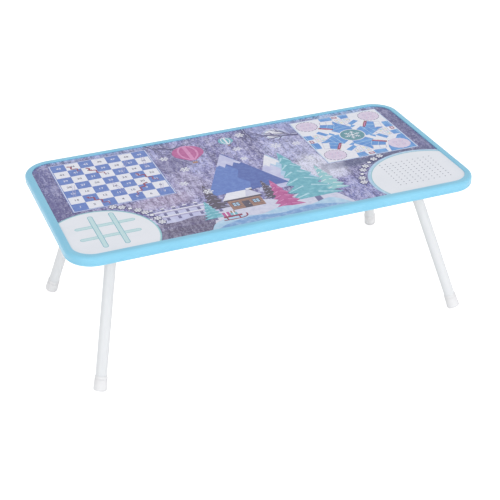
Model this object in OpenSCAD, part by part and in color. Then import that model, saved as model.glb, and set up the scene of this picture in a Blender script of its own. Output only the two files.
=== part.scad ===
// Low folding games table for children.
// A printed and laminated board sits in a moulded edge frame, on two bent tube leg frames.
// Each leg frame turns in two snap clips under the board, opens against two stops,
// and folds flat under the board, where a storage clip holds it.
// Origin: centre of the footprint, on the floor. +X runs along the top, +Y to its back.

/* [Top] */
// Length of the top, end to end
top_l = 600; // [570:5:700]
// Depth of the top, front to back
top_w = 304; // [298:2:360]
// Height of the top edge above the floor
table_h = 218; // [196:1:234]
// Radius of the top's corners, seen from above
corner_r = 40; // [25:1:60]
// Thickness of the board
board_t = 10; // [9:0.5:16]
// Thickness of the printed sheet on the board
sheet_t = 0.4; // [0.2:0.1:1]
// Thickness of the plain sheet under the board
backing_t = 0.4; // [0.2:0.1:1]

/* [Edge frame] */
// Wall of the edge frame outside the board
rim_wall = 4; // [3:0.5:6]
// Width of the lips over and under the board, from the outer face
lip_w = 10.5; // [8:0.5:14]
// Thickness of the upper lip
lip_top = 1.6; // [1:0.1:2.5]
// Thickness of the lower lip
lip_bottom = 2; // [1:0.1:3]
// Rounding of the upper outer edge
rim_round_top = 5; // [2:0.5:6]
// Rounding of the lower outer edge
rim_round_bottom = 3; // [1:0.5:5]
// Rounding of the upper lip's inner edge
lip_soft = 0.8; // [0.2:0.1:1]

/* [Leg frames] */
// Distance from the end of the top to the pivot of the leg frame
pivot_inset = 73; // [66:1:80]
// Length of the crossbar between the corners of the bent tube, on its centre line
crossbar_l = 160; // [140:1:168]
// Lean of the open leg frame outwards, in degrees
lean = 14.3; // [8:0.1:18]
// Spread of each leg from the middle of its own frame, in degrees
spread = 17.5; // [10:0.1:19]
// Outer diameter of the tube
tube_d = 16; // [14:0.5:19]
// Wall of the tube
tube_wall = 1.2; // [0.8:0.1:2]
// Radius of the bends, on the centre line
bend_r = 30; // [28:1:36]

/* [Foot caps] */
// Length of a foot cap
cap_l = 21; // [16:1:30]
// Thickness under the tube's end
cap_base = 3; // [2:0.5:6]
// Wall of the cap beside the tube
cap_wall = 1; // [0.8:0.1:2]
// How far the cap widens down to its base
cap_flare = 0.5; // [0:0.1:1.2]
// Height of the collar at the cap's mouth
cap_collar_h = 4.5; // [3:0.5:7]
// How far the collar stands out
cap_collar_out = 0.4; // [0.2:0.1:0.8]
// Chamfer round the cap's base
cap_chamfer = 1; // [0.5:0.1:2]
// Gap between a folded foot and the edge frame
fold_clear = 0.9; // [0.5:0.1:2]

/* [Hinge clips] */
// Length of a hinge clip along the crossbar
hinge_l = 20; // [12:1:28]
// Wall of the clip round the tube
hinge_wall = 3; // [2:0.5:4]
// Clearance round the tube in the clip
hinge_fit = 0.1; // [0.05:0.01:0.1]
// Mouth of the clip, narrower than the tube
hinge_mouth = 12.5; // [10:0.5:13]
// Distance from the clip to the bend of the tube
hinge_gap = 2; // [1:0.5:6]
// Distance between the two screws of a hinge clip
hinge_screw_pitch = 38; // [36:1:46]
// Width of the flange outside each screw
hinge_flange_end = 7; // [5:0.5:10]

/* [Leg stops] */
// Length of a leg stop, front to back
stop_l = 22; // [20:1:30]
// How far the stop reaches down from the board
stop_depth = 36; // [30:1:46]
// Thickness of the plate that the leg leans on
stop_plate = 4; // [3:0.5:6]
// Thickness of the web behind the plate
stop_web = 4; // [3:0.5:5]
// Offset of the stop from the corner of the tube, towards the foot
stop_shift = 4; // [0:1:8]
// Gap between the stop and the open leg
stop_gap = 0.3; // [0.2:0.05:0.5]
// Length of the flange outside the screws
stop_heel = 16; // [8:1:20]

/* [Storage clips] */
// Length of a storage clip along the folded leg
store_l = 16; // [12:1:24]
// Arms of the clip beside the folded leg
store_wall = 2.6; // [2:0.1:4]
// Gap between the folded leg and the clip
store_fit = 0.4; // [0.3:0.05:0.6]
// How far the arms reach past the middle of the folded leg
store_arm = 6; // [2:0.5:8]
// Bare tube between the storage clip and the folded foot cap
store_gap = 30; // [10:1:50]
// Least gap between the storage clip and the lip beside it
store_lip_gap = 4; // [2:0.5:8]

/* [Screws] */
// Diameter of a screw's shank
screw_d = 3.5; // [3:0.1:4]
// Diameter of a screw's head
screw_head_d = 7; // [6:0.1:8]
// Height of a pan head
screw_head_h = 2.2; // [1.5:0.1:3]
// Depth of a screw in the board and its backing
screw_bite = 8; // [6:0.5:8.5]
// Free depth of a pilot hole past the screw's tip
pilot_free = 0.5; // [0.2:0.1:1]
// Thickness of the flanges that the pan heads sit on
flange_t = 3; // [2:0.5:4]
// Length of each arm of a head's cross recess
recess_arm = 1.9; // [1.4:0.1:2.2]
// Width of a head's cross recess
recess_w = 0.9; // [0.6:0.1:1.2]
// Depth of a head's cross recess
recess_depth = 1.1; // [0.6:0.1:1.4]

/* [Hidden] */
$fn = 96;

LEFT = -1;
RIGHT = 1;
FRONT = -1;
REAR = 1;
SIDES = [-1, 1];

// Steps in a quarter of a rounded edge
round_steps = 6;
// Steps round the leg frame's tube
tube_steps = 64;
// Turn that keeps the leg's seam off the bend's
seam_turn = 45;
// Overlap that keeps cutters clear of the faces that they pass
cut = 1;

// Heights of the layers, from the floor
rim_h = lip_bottom + backing_t + board_t + sheet_t + lip_top;
rim_z = table_h - rim_h;
under_z = rim_z + lip_bottom;
board_z = under_z + backing_t;
sheet_z = board_z + board_t;

// Foot cap radii, and the pivot that lets the folded feet clear the edge frame
tube_r = tube_d / 2;
cap_r = tube_r + cap_wall;
cap_base_r = cap_r + cap_flare;
cap_collar_r = cap_r + cap_collar_out;
fold_r = max(cap_base_r, cap_collar_r);
pivot_drop = lip_bottom + fold_clear + fold_r;
pivot_z = under_z - pivot_drop;
pivot_x = top_l / 2 - pivot_inset;

// Bent tube, measured in the plane of its frame. Its straight runs are rounded, so that the bends meet them
function to_step(v) = round(v / 0.02) * 0.02;
half_bar = crossbar_l / 2;
bend_turn = 90 - spread;
bend_run = bend_r * tan(bend_turn / 2);
straight_half = to_step(half_bar - bend_run);
leg_tilt = acos(cos(lean) * cos(spread));
leg_len = (pivot_z - (cap_base_r - cap_chamfer) * sin(leg_tilt)) / cos(leg_tilt);
leg_run = to_step(leg_len - bend_run - cap_base);

// Hinge clips
hinge_y = straight_half - hinge_gap - hinge_l / 2;
hinge_bore_r = tube_r + hinge_fit;
hinge_out_r = hinge_bore_r + hinge_wall;
hinge_base_l = hinge_screw_pitch + 2 * hinge_flange_end;

// Leg stops, measured outwards from the pivot and down from the board
driver_gap = 2;
head_gap = 1;
function stop_face(w) = (w - pivot_drop) * tan(lean) + (tube_r + stop_gap) / cos(lean);
stop_y = half_bar + stop_shift;
stop_tip = stop_face(stop_depth) + stop_plate;
stop_screw_x = stop_tip + screw_head_d / 2 + driver_gap;
stop_screw_pitch = (stop_l + stop_web) / 2 + head_gap;
stop_end = stop_screw_x + stop_heel;

// Storage clips, along the folded leg: behind its cap, or sooner where the leg nears the lip
store_bore_r = tube_r + store_fit;
store_half = store_bore_r + store_wall;
store_reach = store_half * cos(spread) + store_l / 2 * sin(spread);
store_behind_cap = leg_len - cap_l - store_gap - store_l / 2;
store_beside_lip = (top_w / 2 - lip_w - store_lip_gap - store_reach - half_bar) / sin(spread);
store_at = min(store_behind_cap, store_beside_lip);
store_x = pivot_x - store_at * cos(spread);
store_y = half_bar + store_at * sin(spread);
sink_h = (screw_head_d - screw_d) / 2;

// Centres of the screws of one end of the table
function hinge_screws_at(side) = [
    for (end = SIDES) for (k = SIDES) [side * pivot_x + k * hinge_screw_pitch / 2, end * hinge_y]
];
function stop_screws_at(side) = [
    for (end = SIDES) for (k = SIDES)
        [side * (pivot_x + stop_screw_x), end * stop_y + k * stop_screw_pitch / 2]
];
function store_screw_at(side) = [side * store_x, REAR * store_y];
all_screws = concat(
    hinge_screws_at(LEFT), hinge_screws_at(RIGHT), stop_screws_at(LEFT), stop_screws_at(RIGHT),
    [store_screw_at(LEFT), store_screw_at(RIGHT)]
);

function arc(cx, cy, r, from, to) = [
    for (i = [0:round_steps])
        let (a = from + (to - from) * i / round_steps) [cx + r * cos(a), cy + r * sin(a)]
];

module rounded_plate(l, w, r, t) {
    linear_extrude(t) {
        square([l - 2 * r, w], center = true);
        square([l, w - 2 * r], center = true);
        for (x = SIDES) for (y = SIDES)
            translate([x * (l / 2 - r), y * (w / 2 - r)]) circle(r);
    }
}

// Plate that fills the edge frame's groove
module groove_plate(t) {
    rounded_plate(top_l - 2 * rim_wall, top_w - 2 * rim_wall, corner_r - rim_wall, t);
}

// Section of the edge frame: distance in from the outer face, height from its underside
rim_section = concat(
    [[lip_w, 0]],
    arc(rim_round_bottom, rim_round_bottom, rim_round_bottom, 270, 180),
    arc(rim_round_top, rim_h - rim_round_top, rim_round_top, 180, 90),
    arc(lip_w - lip_soft, rim_h - lip_soft, lip_soft, 90, 0),
    [
        [lip_w, rim_h - lip_top],
        [rim_wall, rim_h - lip_top],
        [rim_wall, lip_bottom],
        [lip_w, lip_bottom]
    ]
);

module rim_side(out, run) {
    translate([out, run / 2, rim_z])
        rotate([90, 0, 0])
            linear_extrude(run)
                polygon([for (p = rim_section) [-p.x, p.y]]);
}

module rim_corner() {
    rotate_extrude(angle = 90)
        polygon([for (p = rim_section) [corner_r - p.x, p.y]]);
}

module edge_frame() {
    color([0.55, 0.82, 0.93]) {
        for (turn = [0, 180]) rotate(turn) rim_side(top_l / 2, top_w - 2 * corner_r);
        for (turn = [90, 270]) rotate(turn) rim_side(top_w / 2, top_l - 2 * corner_r);
        for (turn = [0, 180]) rotate(turn)
            translate([top_l / 2 - corner_r, top_w / 2 - corner_r, rim_z]) rim_corner();
        for (turn = [0, 180]) rotate(turn)
            translate([corner_r - top_l / 2, top_w / 2 - corner_r, rim_z]) rotate(90) rim_corner();
    }
}

module play_sheet() {
    color([0.62, 0.60, 0.76]) translate([0, 0, sheet_z]) groove_plate(sheet_t);
}

module board_core() {
    color([0.72, 0.58, 0.42]) difference() {
        translate([0, 0, board_z]) groove_plate(board_t);
        for (p = all_screws)
            translate([p.x, p.y, under_z - cut])
                cylinder(d = screw_d, h = screw_bite + pilot_free + cut);
    }
}

module backing_sheet() {
    color([0.93, 0.93, 0.91]) difference() {
        translate([0, 0, under_z]) groove_plate(backing_t);
        for (p = all_screws)
            translate([p.x, p.y, under_z - cut]) cylinder(d = screw_d, h = backing_t + 2 * cut);
    }
}

// Turns the frame's own plane, x along the crossbar and y down the legs, to its open place
module open_frame(side) {
    mirror([side == LEFT ? 1 : 0, 0, 0])
        translate([pivot_x, 0, pivot_z])
            rotate([0, -(90 + lean), 0])
                rotate([0, 0, 90])
                    children();
}

// Puts the origin at the centre of a bend, with x towards its start
module at_bend(end) {
    rotate([0, end == FRONT ? 180 : 0, 0])
        translate([straight_half, bend_r, 0])
            rotate(-90)
                children();
}

// From the centre of a bend: the origin at the bend's end, with z down the leg
module down_leg() {
    rotate(bend_turn) translate([bend_r, 0, 0]) rotate([-90, 0, 0]) children();
}

module tube_section() {
    difference() {
        circle(tube_r);
        circle(tube_r - tube_wall);
    }
}

module leg_frame(side) {
    $fn = tube_steps;
    color([0.90, 0.91, 0.92]) open_frame(side) {
        rotate([0, 90, 0]) linear_extrude(2 * straight_half, center = true) tube_section();
        for (end = SIDES) at_bend(end) {
            rotate_extrude(angle = bend_turn) translate([bend_r, 0]) tube_section();
            down_leg() linear_extrude(leg_run) rotate(seam_turn) tube_section();
        }
    }
}

// Section of a foot cap: radius, and distance from its base with z pointing down the leg
module foot_cap(side, end) {
    mouth = -cap_l;
    collar = cap_collar_h - cap_l;
    color([0.94, 0.94, 0.95]) open_frame(side) at_bend(end) down_leg()
        translate([0, 0, leg_run + cap_base]) rotate_extrude() polygon([
            [0, 0],
            [cap_base_r - cap_chamfer, 0],
            [cap_base_r, -cap_chamfer],
            [cap_r, collar + cap_collar_out],
            [cap_collar_r, collar],
            [cap_collar_r, mouth + cap_collar_out],
            [cap_r, mouth],
            [tube_r, mouth],
            [tube_r, -cap_base],
            [0, -cap_base]
        ]);
}

module hinge_clip(side, end) {
    color([0.93, 0.93, 0.93]) translate([side * pivot_x, end * hinge_y, under_z]) difference() {
        rotate([90, 0, 0]) linear_extrude(hinge_l, center = true) difference() {
            union() {
                translate([-hinge_base_l / 2, -flange_t]) square([hinge_base_l, flange_t]);
                translate([-hinge_out_r, -pivot_drop]) square([2 * hinge_out_r, pivot_drop]);
                translate([0, -pivot_drop]) circle(hinge_out_r);
            }
            translate([0, -pivot_drop]) circle(hinge_bore_r);
            translate([-hinge_mouth / 2, -pivot_drop - hinge_out_r - cut])
                square([hinge_mouth, hinge_out_r + cut]);
        }
        for (k = SIDES)
            translate([k * hinge_screw_pitch / 2, 0, -flange_t - cut])
                cylinder(d = screw_d, h = flange_t + 2 * cut);
    }
}

module leg_stop(side, end) {
    foot = stop_face(0);
    tip = stop_face(stop_depth);
    color([0.93, 0.93, 0.93]) mirror([side == LEFT ? 1 : 0, 0, 0])
        translate([pivot_x, end * stop_y, under_z]) difference() {
            rotate([90, 0, 0]) union() {
                linear_extrude(stop_l, center = true) polygon([
                    [foot, 0],
                    [tip, -stop_depth],
                    [stop_tip, -stop_depth],
                    [foot + stop_plate, 0]
                ]);
                linear_extrude(stop_web, center = true) polygon([
                    [foot + stop_plate / 2, 0],
                    [tip + stop_plate / 2, -stop_depth],
                    [stop_tip, -stop_depth],
                    [stop_end - stop_web, -flange_t],
                    [stop_end - stop_web, 0]
                ]);
                linear_extrude(stop_l, center = true)
                    polygon([[foot, 0], [foot, -flange_t], [stop_end, -flange_t], [stop_end, 0]]);
            }
            for (k = SIDES)
                translate([stop_screw_x, k * stop_screw_pitch / 2, -flange_t - cut])
                    cylinder(d = screw_d, h = flange_t + 2 * cut);
        }
}

module storage_clip(side) {
    slot_top = pivot_drop - store_bore_r;
    color([0.93, 0.93, 0.93]) translate(concat(store_screw_at(side), under_z))
        rotate(-side * spread) difference() {
            rotate([90, 0, 90]) linear_extrude(store_l, center = true) difference() {
                translate([-store_half, -pivot_drop - store_arm])
                    square([2 * store_half, pivot_drop + store_arm]);
                translate([0, -pivot_drop]) circle(store_bore_r);
                translate([-store_bore_r, -pivot_drop - store_arm - cut])
                    square([2 * store_bore_r, store_arm + cut]);
            }
            translate([0, 0, -slot_top - cut]) cylinder(d = screw_d, h = slot_top + 2 * cut);
            translate([0, 0, -slot_top]) cylinder(d1 = screw_head_d, d2 = screw_d, h = sink_h);
            translate([0, 0, -slot_top - cut]) cylinder(d = screw_head_d, h = cut);
        }
}

// Cross recess in a head's outer face, which lies at z = 0 and faces down
module cross_recess() {
    for (turn = [0, 90])
        rotate(turn)
            translate([-recess_arm, -recess_w / 2, -cut])
                cube([2 * recess_arm, recess_w, recess_depth + cut]);
}

module pan_screws(centres) {
    color([0.78, 0.79, 0.80]) for (p = centres)
        translate([p.x, p.y, under_z - flange_t - screw_head_h]) difference() {
            union() {
                cylinder(d = screw_head_d, h = screw_head_h);
                cylinder(d = screw_d, h = screw_head_h + flange_t + screw_bite);
            }
            cross_recess();
        }
}

module storage_clip_screws() {
    slot_top = pivot_drop - store_bore_r;
    color([0.78, 0.79, 0.80]) for (side = SIDES)
        translate(concat(store_screw_at(side), under_z - slot_top)) difference() {
            union() {
                cylinder(d1 = screw_head_d, d2 = screw_d, h = sink_h);
                cylinder(d = screw_d, h = slot_top + screw_bite);
            }
            cross_recess();
        }
}

edge_frame();
play_sheet();
board_core();
backing_sheet();
leg_frame(LEFT);  // left_leg_frame
leg_frame(RIGHT);  // right_leg_frame
foot_cap(LEFT, FRONT);  // left_front_foot
foot_cap(LEFT, REAR);  // left_rear_foot
foot_cap(RIGHT, FRONT);  // right_front_foot
foot_cap(RIGHT, REAR);  // right_rear_foot
hinge_clip(LEFT, FRONT);  // left_front_hinge_clip
hinge_clip(LEFT, REAR);  // left_rear_hinge_clip
hinge_clip(RIGHT, FRONT);  // right_front_hinge_clip
hinge_clip(RIGHT, REAR);  // right_rear_hinge_clip
leg_stop(LEFT, FRONT);  // left_front_leg_stop
leg_stop(LEFT, REAR);  // left_rear_leg_stop
leg_stop(RIGHT, FRONT);  // right_front_leg_stop
leg_stop(RIGHT, REAR);  // right_rear_leg_stop
storage_clip(LEFT);  // left_storage_clip
storage_clip(RIGHT);  // right_storage_clip
pan_screws(hinge_screws_at(LEFT));  // left_hinge_screws
pan_screws(hinge_screws_at(RIGHT));  // right_hinge_screws
pan_screws(stop_screws_at(LEFT));  // left_stop_screws
pan_screws(stop_screws_at(RIGHT));  // right_stop_screws
storage_clip_screws();
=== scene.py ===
"""Looks of a low folding games table, from its printed top down to its screws."""

import logging
import math
import random
from collections.abc import Callable, Iterable, Sequence
from dataclasses import dataclass
from enum import Enum
from functools import cache

import bmesh
import bpy
from mathutils import Matrix, Vector
from mathutils.geometry import tessellate_polygon


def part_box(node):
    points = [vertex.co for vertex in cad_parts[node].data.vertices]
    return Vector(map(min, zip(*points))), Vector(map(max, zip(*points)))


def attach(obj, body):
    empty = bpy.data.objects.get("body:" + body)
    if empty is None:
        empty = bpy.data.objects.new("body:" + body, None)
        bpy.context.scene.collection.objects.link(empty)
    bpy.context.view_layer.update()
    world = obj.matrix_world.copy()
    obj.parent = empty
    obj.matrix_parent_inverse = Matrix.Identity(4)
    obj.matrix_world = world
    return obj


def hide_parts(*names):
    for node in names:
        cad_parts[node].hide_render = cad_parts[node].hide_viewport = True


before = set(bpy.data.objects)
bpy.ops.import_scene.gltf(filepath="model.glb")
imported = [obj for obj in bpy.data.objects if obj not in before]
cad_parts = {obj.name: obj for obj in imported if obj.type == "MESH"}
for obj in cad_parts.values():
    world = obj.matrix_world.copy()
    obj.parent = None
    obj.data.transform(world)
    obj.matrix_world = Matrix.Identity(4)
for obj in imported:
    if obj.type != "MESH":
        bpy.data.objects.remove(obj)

log = logging.getLogger("games_table")

MM = 0.001
Mesh = bpy.types.Mesh
Point = tuple[float, float]
Points = Sequence[Point]
Trio = tuple[float, float, float]
Colour = Trio
TABLE_TOP = "table_top"
QUARTERS = ((1, 1), (-1, 1), (-1, -1), (1, -1))
# The font size that makes a digit about 1 tall
DIGIT_EM = 1.35


def ink(red: int, green: int, blue: int) -> Colour:
    """Turns a colour as it is seen on paper, 0 to 255, into the light values that Blender mixes.

    Args:
        red: the red share.
        green: the green share.
        blue: the blue share.

    Returns:
        The colour in linear light.
    """
    parts = (v / 255 for v in (red, green, blue))
    light = [v / 12.92 if v <= 0.04045 else ((v + 0.055) / 1.055) ** 2.4 for v in parts]
    return (light[0], light[1], light[2])


def operator(operation: str, swapped: bool = False) -> Callable[["Sock", "Sock | float"], "Sock"]:
    """Makes a method that joins a socket and another value with one Math node.

    Args:
        operation: Blender's name of the operation.
        swapped: whether the other value goes first.

    Returns:
        The method.
    """

    def method(self: "Sock", other: "Sock | float") -> "Sock":
        """Adds the Math node."""
        return self.math(operation, *((other, self) if swapped else (self, other)))

    return method


class Sock:
    """A value socket that takes part in plain Python sums; each sum adds its Math node."""

    def __init__(self, tree: "NodeTree", socket: bpy.types.NodeSocket) -> None:
        """Keeps the socket and the tree that it belongs to."""
        self.tree = tree
        self.socket = socket

    def math(self, operation: str, *values: "Sock | float") -> "Sock":
        """Adds one Math node on the values and returns its result."""
        return self.tree.node("ShaderNodeMath", {"operation": operation}, dict(enumerate(values)))

    __add__ = operator("ADD")
    __radd__ = operator("ADD", swapped=True)
    __sub__ = operator("SUBTRACT")
    __rsub__ = operator("SUBTRACT", swapped=True)
    __mul__ = operator("MULTIPLY")
    __rmul__ = operator("MULTIPLY", swapped=True)
    __truediv__ = operator("DIVIDE")
    __pow__ = operator("POWER")
    __mod__ = operator("FLOORED_MODULO")
    __lt__ = operator("LESS_THAN")
    at_least = operator("MAXIMUM")

    def size(self) -> "Sock":
        """The value without its sign."""
        return self.math("ABSOLUTE", self)

    def rise(self, low: float, high: float) -> "Sock":
        """Goes smoothly from 0 where the value is low to 1 where it is high."""
        inputs = {"Value": self, "From Min": low, "From Max": high, "To Min": 0.0, "To Max": 1.0}
        return self.tree.node("ShaderNodeMapRange", {"interpolation_type": "SMOOTHSTEP"}, inputs)


Feed = Sock | float | Sequence[float] | bool | int | bpy.types.ID | str


class NodeTree:
    """A node tree with one method that adds any kind of node."""

    def __init__(self, tree: bpy.types.NodeTree) -> None:
        """Starts on an empty tree."""
        self.tree = tree
        self.tree.nodes.clear()

    def node(
        self,
        kind: str,
        settings: dict[str, object] | None = None,
        inputs: dict[str | int, Feed] | None = None,
        output: str | int = 0,
    ) -> Sock:
        """Adds a node, sets it up and feeds it.

        Args:
            kind: Blender's type name of the node.
            settings: the node's own properties, set first; "stops" fills a colour ramp.
            inputs: a value or a link for each named or numbered socket.
            output: the socket that is handed back.

        Returns:
            The chosen output.
        """
        node = self.tree.nodes.new(kind)
        for key, value in (settings or {}).items():
            if key == "stops":
                self.stops(node.color_ramp, value)
            else:
                setattr(node, key, value)
        for key, value in (inputs or {}).items():
            self.feed(node.inputs[key], value)
        return Sock(self, node.outputs[output] if node.outputs else None)

    def feed(self, socket: bpy.types.NodeSocket, value: Feed) -> None:
        """Links a socket, or sets its value.

        Args:
            socket: the input.
            value: what goes in.
        """
        if isinstance(value, Sock):
            self.tree.links.new(value.socket, socket)
        elif isinstance(value, tuple | list) and socket.type == "RGBA" and len(value) == 3:
            socket.default_value = (*value, 1.0)
        else:
            socket.default_value = value

    def straight_rays(self) -> Sock:
        """Tells straight light from light that spreads softly.

        Returns:
            One for camera rays, also by way of a mirror or glass, and else zero.
        """
        seen = self.node("ShaderNodeLightPath", output="Is Camera Ray")
        rays = seen.socket.node.outputs
        for name in ("Is Glossy Ray", "Is Transmission Ray"):
            seen = seen.at_least(Sock(self, rays[name]))
        return seen

    @staticmethod
    def stops(ramp: bpy.types.ColorRamp, stops: Sequence[tuple[float, Colour]]) -> None:
        """Fills a colour ramp.

        Args:
            ramp: the ramp.
            stops: places and colours, in order.
        """
        while len(ramp.elements) < len(stops):
            ramp.elements.new(0.5)
        for element, (place, colour) in zip(ramp.elements, stops, strict=True):
            element.position = place
            element.color = (*colour, 1.0)


class Surface(NodeTree):
    """The node tree of one material."""

    def __init__(self, name: str) -> None:
        """Makes the material and its coordinates.

        Args:
            name: the material's name.
        """
        self.material = bpy.data.materials.new(name)
        self.material.use_nodes = True
        super().__init__(self.material.node_tree)
        self.here = self.node("ShaderNodeTexCoord", output="Object")

    def axis(self, name: str) -> Sock:
        """One coordinate of the surface point, X, Y or Z, in millimetres."""
        return self.node("ShaderNodeSeparateXYZ", None, {0: self.here}, name) * 1000.0

    def noise(
        self, across: float, detail: float = 3.0, stretch: Trio = (1, 1, 1), rough: float = 0.5
    ) -> Sock:
        """Soft noise whose patches are about as wide as asked.

        Args:
            across: the width of a patch, in millimetres.
            detail: how many finer layers it carries.
            stretch: how much narrower the patches are along each axis.
            rough: how strong the finer layers are.

        Returns:
            The noise, from 0 to 1.
        """
        place = self.node("ShaderNodeMapping", None, {"Vector": self.here, "Scale": stretch})
        inputs = {"Vector": place, "Scale": 1 / (across * MM), "Detail": detail, "Roughness": rough}
        return self.node("ShaderNodeTexNoise", None, inputs)

    def mix(self, share: Feed, first: Feed, second: Feed) -> Sock:
        """Mixes two colours; the share is how much of the second one shows."""
        return self.node("ShaderNodeMix", {"data_type": "RGBA"}, {0: share, 6: first, 7: second}, 2)

    def relief(self, height: Sock, depth: float, strength: float) -> Sock:
        """A normal bent by a relief from 0 to 1, whose full depth is given in millimetres."""
        inputs = {"Height": height, "Distance": depth * MM, "Strength": strength}
        return self.node("ShaderNodeBump", None, inputs)


@dataclass(frozen=True)
class Finish:
    """What one material looks like.

    Args:
        name: the material's name.
    """

    name: str

    def inputs(self, s: Surface) -> dict[str, Feed]:
        """The Principled shader's inputs, by name, which each finish lays out on the surface."""
        raise NotImplementedError

    def material(self) -> bpy.types.Material:
        """Builds the finish.

        Returns:
            The material.
        """
        s = Surface(self.name)
        shader = s.node("ShaderNodeBsdfPrincipled", None, self.inputs(s))
        s.node("ShaderNodeOutputMaterial", None, {"Surface": shader})
        return s.material


@dataclass(frozen=True)
class MouldedPlastic(Finish):
    """Injection-moulded plastic with a fine grain.

    Args:
        colour: its colour.
        tint: the colour that its cloudy variation leans to.
        cloud: how strong that variation is.
        rough: its mean roughness.
        scuff_below: the height under which it is scuffed by the floor, in millimetres.
    """

    colour: Colour
    tint: Colour
    cloud: float
    rough: float
    scuff_below: float = 0.0

    def inputs(self, s: Surface) -> dict[str, Feed]:
        """Clouds and grain, and scuffs near the floor.

        Args:
            s: the surface.

        Returns:
            The shader's inputs.
        """
        cloud = s.noise(60, 2).rise(0.35, 0.7) * self.cloud
        grain = s.noise(0.9, 2)
        colour = s.mix(cloud + grain * 0.06, self.colour, self.tint)
        if self.scuff_below:
            low = 1 - s.axis("Z").rise(0.3, self.scuff_below)
            marks = s.noise(2.2, 4, (1, 1, 2.5), 0.7).rise(0.48, 0.68)
            colour = s.mix(low * marks * 0.35, colour, ink(150, 147, 146))
        rough = self.rough - 0.05 + s.noise(14, 3) * 0.1
        bump = s.relief(s.noise(0.8, 2), 0.02, 0.35)
        return {"Base Color": colour, "Roughness": rough, "Normal": bump, "IOR": 1.49}


@dataclass(frozen=True)
class PowderCoat(Finish):
    """White powder coat with its faint orange peel.

    Args:
        colour: the coat's colour.
        cloud: the paler colour of its clouds.
        speck: the colour of its specks.
    """

    colour: Colour
    cloud: Colour
    speck: Colour

    def inputs(self, s: Surface) -> dict[str, Feed]:
        """Clouds, specks and orange peel.

        Args:
            s: the surface.

        Returns:
            The shader's inputs.
        """
        colour = s.mix(s.noise(45, 2).rise(0.4, 0.75) * 0.3, self.colour, self.cloud)
        specks = s.noise(3.0, 5, rough=0.8).rise(0.68, 0.74)
        colour = s.mix(specks * 0.25, colour, self.speck)
        rough = 0.3 + s.noise(9, 3) * 0.12
        return {"Base Color": colour, "Roughness": rough, "Normal": s.relief(s.noise(1.6, 2), 0.03, 0.4)}


@dataclass(frozen=True)
class ZincSteel(Finish):
    """Bright zinc plate on a screw.

    Args:
        bright: the colour of its bright crystals.
        dull: the colour of its dull ones.
    """

    bright: Colour
    dull: Colour

    def inputs(self, s: Surface) -> dict[str, Feed]:
        """A bloom of bright and dull crystals.

        Args:
            s: the surface.

        Returns:
            The shader's inputs.
        """
        bloom = s.noise(1.2, 4)
        colour = s.mix(bloom.rise(0.4, 0.7), self.bright, self.dull)
        bump = s.relief(s.noise(0.35, 2), 0.01, 0.3)
        return {"Base Color": colour, "Metallic": 1.0, "Roughness": 0.24 + bloom * 0.16, "Normal": bump}


@dataclass(frozen=True)
class Fibreboard(Finish):
    """Pressed wood fibre, seen only where the board is cut.

    Args:
        dark: the colour of the dark fibres.
        pale: the colour of the pale ones.
    """

    dark: Colour
    pale: Colour

    def inputs(self, s: Surface) -> dict[str, Feed]:
        """Short crossing fibres.

        Args:
            s: the surface.

        Returns:
            The shader's inputs.
        """
        fibres = s.noise(1.1, 6, (1, 1, 3), 0.7)
        colour = s.mix(fibres.rise(0.3, 0.7), self.dark, self.pale)
        return {"Base Color": colour, "Roughness": 0.8 - fibres * 0.1, "Normal": s.relief(fibres, 0.1, 0.5)}


@dataclass(frozen=True)
class BackingLaminate(Finish):
    """Plain pale laminate under the board.

    Args:
        pale: the palest of its colours.
        grey: the colour of its clouds.
        thread: the colour of its woven grain.
    """

    pale: Colour
    grey: Colour
    thread: Colour

    def inputs(self, s: Surface) -> dict[str, Feed]:
        """Soft clouds and a woven grain.

        Args:
            s: the surface.

        Returns:
            The shader's inputs.
        """
        weave = s.noise(2.4, 4, (1, 3, 1), 0.6)
        colour = s.mix(s.noise(120, 3).rise(0.3, 0.7), self.pale, self.grey)
        colour = s.mix(weave.rise(0.5, 0.8) * 0.3, colour, self.thread)
        return {"Base Color": colour, "Roughness": 0.5 + weave * 0.12, "Normal": s.relief(weave, 0.03, 0.5)}


def laminated(s: Surface, colour: Sock) -> dict[str, Feed]:
    """The shader's inputs of a printed colour under the clear laminate.

    Args:
        s: the surface.
        colour: the print.

    Returns:
        The inputs.
    """
    bump = s.relief(s.noise(1.5, 2), 0.01, 0.2)
    clear = {"Roughness": 0.34, "Coat Weight": 0.25, "Coat Roughness": 0.18}
    return {"Base Color": colour, "Normal": bump, **clear}


@dataclass(frozen=True)
class PrintInk(Finish):
    """One colour of the print.

    Args:
        colour: the ink.
        frost: the paler ink that mottles it.
        share: how strong the mottling is.
        across: how wide its patches are, in millimetres.
    """

    colour: Colour
    frost: Colour
    share: float = 0.6
    across: float = 5.0

    def inputs(self, s: Surface) -> dict[str, Feed]:
        """A mottled ink under the laminate."""
        mottle = s.noise(self.across, 4, rough=0.65).rise(0.38, 0.72)
        return laminated(s, s.mix(mottle * self.share, self.colour, self.frost))


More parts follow.
